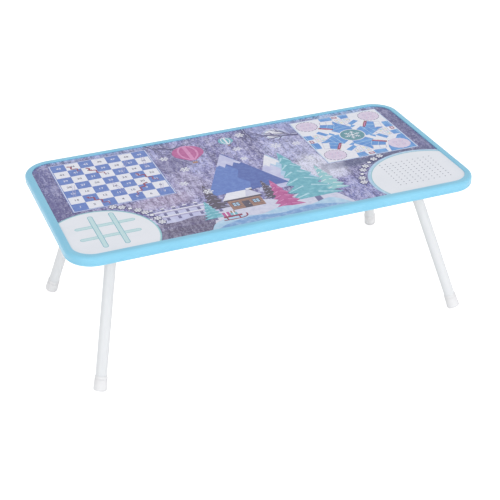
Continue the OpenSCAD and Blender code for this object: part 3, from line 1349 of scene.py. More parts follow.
@dataclass
class LudoBoard(Design):
    """Ludo: a disc, four arms of cells that fan round it like a pinwheel, and a round yard in each corner.

    The arm's points are those of the arm that runs to the right, from the board's middle.
    """

    x: float = 194.7
    y: float = 55.9
    half_w: float = 72.2
    half_h: float = 72.8
    hub: float = 18.8
    flake: float = 13.5
    yard: float = 16.6
    yard_x: float = 53.0
    yard_y: float = 53.4
    yard_dashes: int = 18
    token_far: float = 7.2
    token: tuple[tuple[float, Ink], ...] = ((3.2, Ink.LAVENDER), (2.6, Ink.BLUSH), (0.8, Ink.ROSE))
    mark: float = 2.1
    mark_inks: tuple[Ink, Ink, Ink] = (Ink.GILT, Ink.FROSTED_TEAL, Ink.BLUSH)
    home_mark: float = 1.8
    level: int = 2
    sails: tuple[tuple[Point, ...], ...] = (
        ((14, -9), (30, -9.5), (39, -2), (47, 3.5), (56.7, 7.5))
        + ((50.5, 11.5), (43.5, 10.5), (31, 18), (25, 24), (12, 14)),
        ((43.5, 10), (51, 31.3), (42.3, 36.2), (30.6, 17.6)),
        ((60, 10.5), (60.6, 5.6), (80, 4.6), (80, 25), (61.8, 25.8)),
        ((59.4, -8.4), (80, -6.4), (80, -24), (60, -21.5)),
        ((39.8, -11.4), (49.6, -25.2), (43.2, -30.6), (32.4, -14)),
        ((26, -8), (33, -13.5), (30, -20), (24.5, -12)),
    )
    track: tuple[Point, ...] = ((60.4, 3.6), (58, -19.5), (50.6, -20.6), (38, -10), (36, -4.5), (47, 2.6))
    lane: tuple[Point, ...] = ((51, 31.6), (59.8, 29.4), (55, 8.6), (44.4, 12.2))
    seams: tuple[tuple[Point, Point], ...] = (
        ((43.5, 10.4), (30.8, 17.8)),
        ((30, -9.5), (25, 24)),
        ((39, -2), (34.6, 15.8)),
        ((46.9, 20.6), (36.4, 26.8)),
        ((70, 4.6), (70.4, 25)),
        ((69.8, -6.4), (69.8, -24)),
    )
    rungs: tuple[tuple[Point, Point], ...] = (
        ((60, -2), (43.5, -0.2)),
        ((59.4, -8.2), (36.4, -6)),
        ((58.6, -14.2), (44.4, -15.2)),
        ((52.5, 3.2), (50.4, -20.2)),
        ((57.4, 19), (47.8, 22)),
    )
    marks: tuple[Point, ...] = (
        ((56.6, 0), (49, 0.4), (55.8, -5.4), (46.6, -3.6), (54.8, -11.6), (46.4, -10.6), (54.4, -17.2))
    )
    home: tuple[Point, Point] = ((28.6, 23.2), (42.8, 43.8))
    start: tuple[float, float, float, float] = (64.4, -4.4, 70.6, 4.4)
    gate: tuple[Point, ...] = ((41, 38.6), (35.4, 29.6), (29, 19.2))
    gate_line: tuple[Point, Point] = ((38.6, 34.8), (31, 22.4))

    def window(self, inset: float) -> list[Point]:
        """The board's square, drawn in by an inset."""
        w, h = self.half_w - inset, self.half_h - inset
        return box_points(self.x - w, self.y - h, self.x + w, self.y + h)

    def turned(self, points: Iterable[Point], turn: float) -> list[Point]:
        """Turns points of the arm about the board's middle by an angle in degrees."""
        c, s = math.cos(math.radians(turn)), math.sin(math.radians(turn))
        return [(self.x + x * c - y * s, self.y + x * s + y * c) for x, y in points]

    def build(self) -> None:
        """Prints the board."""
        rings = ((2.4, Ink.ROYAL), (1.7, Ink.WHITE), (0.8, Ink.ICE), (0.0, Ink.WHITE))
        for level, (grow, colour) in enumerate(rings, self.level):
            self.sheet.shape(self.window(-grow), colour, level)
        up = self.level + len(rings)
        for turn in range(0, 360, 90):
            self.arm(turn, up)
        for x, y in ((-1, 1), (1, 1), (-1, -1), (1, -1)):
            spot = (self.x + x * self.yard_x, self.y + y * self.yard_y)
            self.corner_yard(spot, (x, y) == (1, -1), up)
        middle = (self.x, self.y)
        self.sheet.disc(middle, self.hub + 1.4, Ink.WHITE, up + 3)
        self.sheet.disc(middle, self.hub, Ink.SEA, up + 4)
        self.snowflake(middle, self.flake, Ink.WHITE, up + 5, 15)

    def arm(self, turn: float, up: int) -> None:
        """Prints one arm of the track.

        Args:
            turn: its direction, in degrees.
            up: its layer.
        """
        square = self.window(0)
        for number, sail in enumerate(self.sails):
            self.sheet.shape(self.turned(sail, turn), Ink.SKY, up + 0.15 * number, square)
        for outline, inset in ((self.lane, 1.0), (self.track, 0.9)):
            self.sheet.shape(self.turned(outline, turn), Ink.LAVENDER, up + 1, square)
            self.sheet.shape(self.turned(drawn_in(outline, inset), turn), Ink.PANEL, up + 1.5, square)
        for number, seam in enumerate(self.seams):
            self.sheet.line(self.turned(seam, turn), 0.8, Ink.ICE, up + 0.93 + 0.008 * number, square)
        for number, rung in enumerate(self.rungs):
            self.sheet.line(self.turned(rung, turn), 0.6, Ink.LAVENDER, up + 1.6 + 0.02 * number)
        for k, spot in enumerate(self.turned(self.marks, turn)):
            self.sheet.disc(spot, self.mark, self.mark_inks[k % 3], up + 1.8, 6, 20 * k)
        (ax, ay), (bx, by) = self.home
        for far in (0.26, 0.5, 0.74):
            spot = self.turned([(ax + (bx - ax) * far, ay + (by - ay) * far)], turn)[0]
            self.sheet.disc(spot, self.home_mark, Ink.GILT, up + 1.8, 6, 90 * far)
        x0, y0, x1, y1 = self.start
        for inset, colour, more in ((0.0, Ink.RED, 2.2), (1.5, Ink.BLUSH, 2.6)):
            cell = box_points(x0 + inset, y0 + inset, x1 - inset, y1 - inset)
            self.sheet.shape(self.turned(cell, turn), colour, up + more)
        self.sheet.shape(stroke(self.turned(self.gate, turn), [4.2, 5.2, 3.8]), Ink.RED, up + 2)
        self.sheet.line(self.turned(self.gate_line, turn), 1.3, Ink.ROSE, up + 2.4)

    def corner_yard(self, spot: Point, plain: bool, up: int) -> None:
        """Prints one round yard.

        Args:
            spot: its middle.
            plain: whether it lies on a blue ground and has a pale edge.
            up: its layer.
        """
        x, y = spot
        if plain:
            ground = [(x - 26, y - 40), (x + 40, y - 40), (x + 40, y + 36), (x + 10, y + 27)]
            ground += [(x + 3, y + 17.6), (x - 12, y + 14), (x - 20.5, y - 6)]
            self.sheet.shape(ground, Ink.SKY, up + 3, self.window(0))
        self.sheet.disc(spot, self.yard, Ink.BLUSH, up + 4)
        for k in range(self.yard_dashes):
            a = math.radians(360 / self.yard_dashes * k)
            edge = (x + self.yard * math.cos(a), y + self.yard * math.sin(a))
            along = (-math.sin(a) * 1.9, math.cos(a) * 1.9)
            ends = [(edge[0] - along[0], edge[1] - along[1]), (edge[0] + along[0], edge[1] + along[1])]
            self.sheet.line(ends, 0.9, Ink.BLUSH if plain else Ink.NIGHT, up + 5)
        for token in ring_points(x, y, self.token_far, self.token_far, 4, 45):
            for more, (wide, colour) in enumerate(self.token, 5):
                self.sheet.disc(token, wide, colour, up + more, 20)


def drawn_in(outline: Points, inset: float) -> list[Point]:
    """Moves the points of an outline towards their mean.

    Args:
        outline: the points.
        inset: how far each goes.

    Returns:
        The smaller outline.
    """
    mx, my = (sum(p[k] for p in outline) / len(outline) for k in (0, 1))
    shares = [inset / math.dist(p, (mx, my)) for p in outline]
    return [(x + (mx - x) * t, y + (my - y) * t) for (x, y), t in zip(outline, shares, strict=True)]


@dataclass
class CrossesPanel(Design):
    """The round panel with the noughts-and-crosses grid."""

    x: float = -246.0
    y: float = -106.0
    radius: float = 78.5
    bar: float = 7.4
    level: int = 2
    bar_edge: float = 0.85
    across: tuple[float, float] = (-270.3, -193.7)
    along: tuple[float, float] = (-43.2, -125.3)
    upright: tuple[float, ...] = (-246.2, -216.6)
    level_bars: tuple[float, ...] = (-69.3, -99.5)

    def build(self) -> None:
        """Prints the panel."""
        rings = ((1.0, Ink.BARK), (0.3, Ink.EDGE_TEAL), (-1.5, Ink.PALE_TEAL))
        rings += ((-2.3, Ink.WHITE), (-3.2, Ink.PANEL))
        for level, (grow, colour) in enumerate(rings, self.level):
            self.sheet.disc((self.x, self.y), self.radius + grow, colour, level, 96)
        up = self.level + len(rings)
        bars = [([(x, y) for x in self.across], Ink.EDGE_TEAL, up) for y in self.level_bars]
        bars += [([(x, y) for y in self.along], Ink.TEAL, up + 2) for x in self.upright]
        for ends, colour, level in bars:
            self.rounded_bar(*ends, self.bar, colour, level)
            self.rounded_bar(*ends, self.bar - 2 * self.bar_edge, Ink.PALE_TEAL, level + 1)

    def rounded_bar(self, start: Point, end: Point, wide: float, colour: Ink, level: int) -> None:
        """Prints a bar with round ends.

        Args:
            start: one end.
            end: the other end.
            wide: its width.
            colour: its ink.
            level: its layer.
        """
        turn = math.degrees(math.atan2(end[1] - start[1], end[0] - start[0]))
        points = arc_points(*end, wide / 2, turn - 90, turn + 90, 12)
        points += arc_points(*start, wide / 2, turn + 90, turn + 270, 12)
        self.sheet.shape(points, colour, level)


@dataclass
class DotsPanel(Design):
    """The panel with a square field of dots for joining."""

    x: float = 240.0
    y: float = -109.0
    wide: float = 86.0
    tall: float = 77.0
    field_x: float = 226.4
    field_y: float = -87.4
    pitch_x: float = 8.92
    pitch_y: float = 7.33
    count: int = 10
    dot: float = 2.1
    thick: float = 0.1
    level: int = 2

    def build(self) -> None:
        """Prints the panel."""
        rings = ((6.0, Ink.BARK), (5.4, Ink.ICE), (0.9, Ink.EDGE_TEAL))
        rings += ((-0.4, Ink.WHITE), (-1.6, Ink.PANEL))
        for level, (grow, colour) in enumerate(rings, self.level):
            points = ring_points(self.x, self.y, self.wide + grow, self.tall + grow, 96)
            self.sheet.shape(points, colour, level)

    def dots(self) -> None:
        """Prints the field of dots."""
        g = Growth(
            "dot_field",
            across=self.pitch_x * (self.count - 1) * MM,
            along=self.pitch_y * (self.count - 1) * MM,
            count=self.count,
            dot_radius=self.dot / 2 * MM,
            thickness=self.thick * MM,
            ink=paint(Ink.GREY.value),
        )
        inputs = {"Vertices": 12, "Radius": g.given("Dot radius"), "Depth": g.given("Thickness")}
        inputs = {"Points": g.grid(), "Instance": g.node("GeometryNodeMeshCylinder", None, inputs)}
        mesh = g.run(g.node("GeometryNodeInstanceOnPoints", None, inputs), g.given("Ink"))
        middle = self.sheet.height(self.level + 5) - self.thick / 2 * MM
        mesh.transform(Matrix.Translation((self.field_x * MM, self.field_y * MM, middle)))
        placed("joining_dots", mesh, TABLE_TOP)


@dataclass
class WinterScene(Design):
    """The picture in the middle of the print: balloons over a cabin among firs, drawn for this table.

    A motif's place comes with its size. A fence post is half its width, its foot and its top.
    """

    seed: int = 11
    tiers: int = 6
    bough_steps: int = 6
    mountains: tuple[tuple[Point, float, float, tuple[Ink, Ink, Ink], int], ...] = (
        ((44, 44), 106, 98, (Ink.HAZE, Ink.ICE, Ink.WHITE), 3),
        ((-16, 72), 122, 122, (Ink.ROYAL, Ink.DEEP_BLUE, Ink.HAZE), 6),
    )
    balloons: tuple[tuple[Point, float, tuple[Ink, Ink]], ...] = (
        ((-58, 96), 24, (Ink.MAGENTA, Ink.ROSE)),
        ((8, 112), 11.5, (Ink.TEAL, Ink.WHITE)),
    )
    full_moon: tuple[Point, float] = ((86, 106), 15)
    log_cabin: tuple[Point, float] = ((-34, -96), 1.35)
    red_sledge: tuple[Point, float] = ((-64, -112), 1.25)
    garlands: tuple[tuple[Point, Point, int, int], ...] = (
        ((-246, -106), (88.5, 88.5), 9, 66),
        ((240, -109), (99.5, 90.5), 114, 172),
    )
    fence_ends: tuple[int, int] = (-172, -88)
    post_gap: int = 16
    post: Trio = (2.2, -92, -58)
    post_cap: Trio = (2.9, -58.6, -56)
    rails: tuple[float, float] = (-68, -82)
    stray: tuple[tuple[Point, float], ...] = (
        (((34, 122), 8), ((14, 78), 7), ((72, 66), 9), ((104, 62), 7), ((102, 8), 8))
        + (((-80, 44), 8), ((-98, 88), 7), ((-96, 2), 7), ((-72, -34), 8), ((12, 44), 6))
    )
    firs: tuple[tuple[Point, float, float, Ink, Ink, float], ...] = (
        ((-74, -96), 84, 34, Ink.PLUM, Ink.LAVENDER, 10),
        ((8, -92), 62, 28, Ink.PLUM, Ink.LAVENDER, 10),
        ((98, -104), 88, 40, Ink.EDGE_TEAL, Ink.WHITE, 10),
        ((64, -122), 166, 76, Ink.TEAL, Ink.FROSTED_TEAL, 13),
        ((20, -126), 92, 42, Ink.MAGENTA, Ink.ROSE, 16),
        ((-88, -116), 56, 30, Ink.TEAL, Ink.FROSTED_TEAL, 13),
    )
    boughs: tuple[tuple[Point, float, float, float, float], ...] = (
        ((-112, 144), -62, 10, 72, 8.0),
        ((119.5, 92), 170, -4, 66, 10.0),
        ((46, 144), -98, 6, 50, 6.5),
    )
    bank: tuple[Point, ...] = (
        ((-176, -95), (-166, -78), (-140, -66), (-116, -70), (-92, -62), (-70, -72), (-60, -90))
        + ((-84, -99), (-112, -94), (-140, -100), (-176, -95))
    )
    hill: tuple[Point, ...] = (
        ((-98, -142), (-86, -106), (-60, -84), (-26, -80), (14, -92), (52, -88), (90, -102), (108, -142))
    )
    drift: tuple[Point, ...] = (
        ((-104, -142), (-92, -124), (-62, -116), (-28, -124))
        + ((8, -114), (44, -124), (80, -116), (104, -142))
    )
    stream: tuple[Point, ...] = (
        ((-98, -142), (-76, -131), (-40, -124), (0, -131), (40, -125), (74, -132), (98, -142))
    )

    def build(self) -> None:
        """Prints the picture, from the back to the front."""
        self.branches()
        self.fence()
        for mountain in self.mountains:
            self.mountain(*mountain)
        self.moon(*self.full_moon)
        for balloon in self.balloons:
            self.balloon(*balloon, 9.15)
        self.sheet.shape(bend_round(self.hill), Ink.SNOW, 9)
        for fir in self.firs:
            self.fir(*fir)
        self.cabin(*self.log_cabin)
        self.sheet.shape(bend_round(self.drift), Ink.ICE, 19)
        self.sheet.shape(bend_round(self.stream), Ink.BROOK, 20)
        self.sledge(*self.red_sledge)
        for spot, size in self.stray:
            self.snowflake(spot, size, Ink.WHITE, 23, size * 7, 0.13)
        for garland in self.garlands:
            self.garland(*garland)

    def fence(self) -> None:
        """Prints a rail fence with snow on it, in front of a low bank."""
        self.sheet.shape(bend_round(self.bank), Ink.HAZE, 2.83)
        start, end = self.fence_ends
        for x in range(start + self.post_gap // 2, end, self.post_gap):
            for box, colour, level in ((self.post, Ink.BARK, 2.88), (self.post_cap, Ink.WHITE, 2.98)):
                half, low, high = box
                self.sheet.shape(box_points(x - half, low, x + half, high), colour, level)
        for y in self.rails:
            for low, high, colour, level in ((-2.2, 2.2, Ink.LAVENDER, 2.92), (1.2, 3.6, Ink.WHITE, 2.95)):
                self.sheet.shape(box_points(start, y + low, end, y + high), colour, level)

    def mountain(
        self, top: Point, tall: float, wide: float, inks: tuple[Ink, Ink, Ink], level: int
    ) -> None:
        """Prints a mountain with a lit side, a shaded side and snow on its top.

        Args:
            top: its summit.
            tall: its height.
            wide: its width at the foot.
            inks: the inks of the lit side, the shaded side and the snow.
            level: its layer.
        """
        x, y = top
        foot = y - tall
        east = [(x + wide / 2, foot), (x + 3, y - 1)]
        ridge = ((0, 0), (0.05, 0.16), (-0.03, 0.3), (0.06, 0.48), (-0.02, 0.66), (0.08, 0.82), (0.02, 1.0))
        cap = ((0, 0), (-0.16, 0.32), (-0.11, 0.29), (-0.07, 0.37), (-0.02, 0.28))
        cap += ((0.03, 0.36), (0.08, 0.27), (0.13, 0.33), (0.16, 0.31))
        ridge_line, cap_line = ([(x + wide * a, y - tall * b) for a, b in line] for line in (ridge, cap))
        outlines = ([(x - wide / 2, foot), *east, (x, y)], [*ridge_line, *east], cap_line)
        for more, (outline, colour) in enumerate(zip(outlines, inks, strict=True)):
            self.sheet.shape(outline, colour, level + more)

    def garland(self, spot: Point, reach: Point, start: int, end: int) -> None:
        """Prints a curved row of small snowflakes and stars beside a panel.

        Args:
            spot: the middle of the curve.
            reach: its half-width and half-height.
            start: the first motif's angle, in degrees.
            end: the angle that the row stops at.
        """
        for number, turn in enumerate(range(start, end, 8)):
            a = math.radians(turn)
            place = (spot[0] + reach[0] * math.cos(a), spot[1] + reach[1] * math.sin(a))
            if number % 3 == 2:
                self.sheet.disc(place, 4.6, Ink.NIGHT, 22, 4, turn)
                self.sheet.disc(place, 3.5, Ink.WHITE, 23, 4, turn)
            else:
                self.snowflake(place, 6.4, Ink.NIGHT, 22, turn, 0.34)
                self.snowflake(place, 5.8, Ink.WHITE, 23, turn, 0.19)

    def sledge(self, spot: Point, scale: float) -> None:
        """Prints a red sledge with parcels.

        Args:
            spot: the middle of its seat.
            scale: its size.
        """
        runner = bend_round([(-13, -8), (0, -8.6), (10, -8), (15, -5), (15.5, 0)])
        shapes = [(stroke(runner, [1.6] * len(runner)), Ink.RED, 21)]
        shapes.append((box_points(-11, -3, 10, 0), Ink.RED, 21.2))
        shapes += [(box_points(x - 0.8, -8, x + 0.8, -2.5), Ink.RED, 21.4) for x in (-8, 6)]
        parcels = ((-10, 0, -2, 9, Ink.MAGENTA), (-1.6, 0, 6, 5.5, Ink.TEAL), (0, 5.5, 5, 10, Ink.AMBER))
        for x0, y0, x1, y1, colour in parcels:
            middle = (x0 + x1) / 2
            shapes.append((box_points(x0, y0, x1, y1), colour, 21.6))
            shapes.append((box_points(middle - 0.7, y0, middle + 0.7, y1), Ink.WHITE, 21.8))
        self.sheet.group(spot, scale, shapes)

    def moon(self, spot: Point, size: float) -> None:
        """Prints a pale moon with a soft ring.

        Args:
            spot: its middle.
            size: its radius.
        """
        for grow, colour, level in ((4.5, Ink.HAZE, 0.4), (1.0, Ink.ICE, 0.6), (0, Ink.WHITE, 0.8)):
            self.sheet.disc(spot, size + grow, colour, level)
        craters = ((-0.36, 0.27, 0.2), (0.32, 0.4, 0.12), (0.23, -0.32, 0.24), (-0.27, -0.45, 0.11))
        self.sheet.group(spot, size, [(ring_points(x, y, r, r, 24), Ink.SNOW, 1.0) for x, y, r in craters])

    def fir(self, foot: Point, tall: float, wide: float, dark: Ink, light: Ink, level: int) -> None:
        """Prints a fir with drooping tiers and snow on them.

        Args:
            foot: the middle of its trunk's foot.
            tall: its height.
            wide: its width.
            dark: the ink of its tiers.
            light: the ink of its snow.
            level: its layer.
        """
        x, y = foot
        trunk = stroke([(x, y), (x, y + tall * 0.3)], [wide * 0.13, wide * 0.09])
        self.sheet.shape(trunk, Ink.BARK, level - 0.35)
        lows = [y + tall * (0.1 + 0.14 * k) for k in range(self.tiers)]
        halves = [wide / 2 * (1 - 0.82 * k / (self.tiers - 1) + 0.06) for k in range(self.tiers)]
        tiers = list(zip(lows, halves, strict=True))
        side = [p for low, half in tiers for p in ((half, low), (half * 0.52, low + tall * 0.1))]
        right = [(x + dx, h) for dx, h in side]
        left = [(x - dx, h) for dx, h in reversed(side)]
        self.sheet.shape([*right, (x, y + tall), *left], dark, level)
        for low, half in tiers:
            for k in (-1, 1):
                ends = [(x + k * half * 0.94, low + 0.6), (x + k * half * 0.18, low + tall * 0.075)]
                self.sheet.shape(stroke(ends, [wide * 0.012, wide * 0.045]), light, level + 1)

    def balloon(self, spot: Point, size: float, inks: tuple[Ink, Ink], level: float) -> None:
        """Prints a hot-air balloon.

        Args:
            spot: the middle of its envelope.
            size: its radius.
            inks: the inks of its envelope and its stripes.
            level: its layer.
        """
        x, y = spot
        cloth, stripe = inks
        k = size / 26
        turns = [math.radians(a) for a in range(-30, 211, 6)]
        outline = [(x + size * math.cos(a), y + size * 0.94 * math.sin(a)) for a in turns]
        outline += [(x - 4.5 * k, y - size * 1.15), (x + 4.5 * k, y - size * 1.15)]
        self.sheet.shape(outline, cloth, level)
        for number, share in enumerate((-0.56, 0.56, 0.0)):
            turns = [math.radians(a) for a in range(84, -61, -9)]
            strip = [(x + size * share * math.cos(a), y + size * 0.94 * math.sin(a)) for a in turns]
            strip.append((x + 4 * k * share, y - size * 1.13))
            self.sheet.line(strip, (3.2 if share else 6.5) * k, stripe, level + 0.2 + 0.2 * number)
        for side in (-1, 1):
            rope = [(x + 4 * k * side, y - size * 1.14), (x + 3 * k * side, y - size * 1.36)]
            self.sheet.line(rope, 0.7 * k, Ink.NIGHT, level)
        basket = box_points(x - 4 * k, y - size * 1.58, x + 4 * k, y - size * 1.34)
        self.sheet.shape(basket, Ink.AMBER, level + 0.2)

    def cabin(self, foot: Point, scale: float) -> None:
        """Prints a log cabin with snow on its roof.

        Args:
            foot: the middle of its foot.
            scale: its size.
        """
        shapes = [
            (box_points(11, 20, 15.5, 36), Ink.PLUM, 10),
            (box_points(10, 35, 16.5, 37.5), Ink.WHITE, 10.5),
            (box_points(-18, -2, 18, 20), Ink.AMBER, 11),
            *((box_points(-18, -1.6 + 3.7 * k, 18, -1.0 + 3.7 * k), Ink.PLUM, 11.5) for k in range(6)),
            ([(-22, 17), (22, 17), (13, 31), (-13, 31)], Ink.PLUM, 12),
            ([(-21.5, 20), (21.5, 20), (12, 35), (-12, 35)], Ink.WHITE, 13),
            ([(4, 21), (21.5, 20), (12, 35), (9, 35)], Ink.SNOW, 13.5),
            (box_points(-4, -2, 4, 12.5), Ink.PLUM, 12),
            (ring_points(2.4, 5, 0.6, 0.6, 12), Ink.WHITE, 12.5),
        ]
        for middle in (-11, 11):
            shapes.append((box_points(middle - 4, 4.6, middle + 4, 12.6), Ink.PLUM, 12))
            for x, y in ((-1.8, 6.8), (1.8, 6.8), (-1.8, 10.4), (1.8, 10.4)):
                pane = box_points(middle + x - 1.4, y - 1.4, middle + x + 1.4, y + 1.4)
                shapes.append((pane, Ink.ICE, 12.5))
        self.sheet.group(foot, scale, shapes)

    def branches(self) -> None:
        """Prints bare boughs that grow in from the upper edge."""
        chance = random.Random(self.seed)
        steps = self.bough_steps
        count = 0

        def grow(spot: Vector, turn: float, curl: float, long: float, wide: float, depth: int) -> None:
            """Prints one curved bough with snow along it, and lets smaller ones leave it.

            Args:
                spot: where it starts.
                turn: its heading, in degrees.
                curl: how far it bends at each step.
                long: its length.
                wide: its width at the start.
                depth: how many times it still forks.
            """
            nonlocal count
            path = [spot.copy()]
            forks: list[tuple[Vector, float, float]] = []
            for k in range(steps):
                turn += curl + chance.uniform(-5, 5)
                angle = math.radians(turn)
                spot = spot + Vector((math.cos(angle), math.sin(angle))) * (long / steps)
                path.append(spot.copy())
                forks.append((spot.copy(), turn, wide * (1 - 0.7 * (k + 1) / steps)))
            fine = bend_round(path, 4)
            widths = [wide * (1 - 0.75 * k / (len(fine) - 1)) for k in range(len(fine))]
            count += 1
            level = 1.21 + 0.05 * count
            self.sheet.shape(stroke(fine, widths), Ink.NIGHT, level)
            if wide > 4:
                snow = [(x, y + w * 0.3) for (x, y), w in zip(fine, widths, strict=True)]
                self.sheet.shape(stroke(snow, [w * 0.25 for w in widths]), Ink.HAZE, level + 0.02)
            if not depth:
                return
            for k, (start, heading, thick) in enumerate(forks[:-1]):
                side = 1 if (k + depth) % 2 else -1
                lean = side * chance.uniform(24, 46)
                share = chance.uniform(0.4, 0.62) * (1 - 0.08 * k)
                bent = -side * chance.uniform(1, 5)
                grow(start, heading + lean, bent, long * share, thick * 0.62, depth - 1)

        for start, *way in self.boughs:
            grow(Vector(start), *way, 2)


@dataclass
class PrintedTop:
    """The printed sheet and everything that is printed on it."""

    edge: EdgeFrame
    seed: int = 5
    margin: float = 3.0
    flakes: float = 5200.0
    flake: float = 0.55
    flake_up: float = 0.03
    flake_sizes: tuple[float, float] = (0.5, 1.5)
    fade_x: float = 12.0
    fade_y: float = 6.0
    fade_out: float = 0.9
    thick: float = 0.1

    def build(self, finishes: Finishes) -> None:
        """Prints the sheet.

        Args:
            finishes: the table's finishes.
        """
        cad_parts["play_sheet"].material_slots[0].material = paint(finishes.scenery)
        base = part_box("play_sheet")[1].z
        picture, games = (PrintSheet(base, self.edge.opening()) for _ in range(2))
        WinterScene(picture).build()
        picture.piece("winter_picture")
        self.snow(base)
        snakes, dots = SnakesBoard(games), DotsPanel(games)
        snakes.figures()
        LudoBoard(games).build()
        CrossesPanel(games).build()
        dots.build()
        snakes.squares()
        snakes.numbers()
        dots.dots()
        games.piece("game_boards")

    def snow(self, base: float) -> None:
        """Scatters printed snow over the background.

        Args:
            base: the height of the sheet's face, in metres.
        """
        half_l, half_w = (v / 2 - self.edge.lip - self.margin for v in (self.edge.length, self.edge.width))
        g = Growth(
            "snow_specks",
            across=half_l * 2 * MM,
            along=half_w * 2 * MM,
            flakes_for_each_square_metre=self.flakes,
            seed=self.seed,
            flake_radius=self.flake * MM,
            thickness=self.thick * MM,
            ink=paint(Ink.SNOW.value),
        )
        inputs = {"Size X": g.given("Across"), "Size Y": g.given("Along")}
        ground = g.node("GeometryNodeMeshGrid", None, inputs)
        density = g.given("Flakes for each square metre")
        inputs = {"Mesh": ground, "Density": density, "Seed": g.given("Seed")}
        spots = g.node("GeometryNodeDistributePointsOnFaces", None, inputs)
        inputs = {"Vertices": 6, "Radius": g.given("Flake radius"), "Depth": g.given("Thickness")}
        flake = g.node("GeometryNodeMeshCylinder", None, inputs)
        spot = g.node("GeometryNodeInputPosition")
        across, along = (
            (g.node("ShaderNodeSeparateXYZ", None, {0: spot}, axis) / (half * MM)).size() ** fade
            for axis, half, fade in (("X", half_l, self.fade_x), ("Y", half_w, self.fade_y))
        )
        inputs = {"Points": spots, "Selection": (across + along) < self.fade_out, "Instance": flake}
        inputs["Scale"] = g.chance(*self.flake_sizes)
        instances = g.node("GeometryNodeInstanceOnPoints", None, inputs)
        mesh = g.run(instances, g.given("Ink"))
        mesh.transform(Matrix.Translation((0, 0, base + (self.flake_up - self.thick / 2) * MM)))
        placed("snow_specks", mesh, TABLE_TOP)


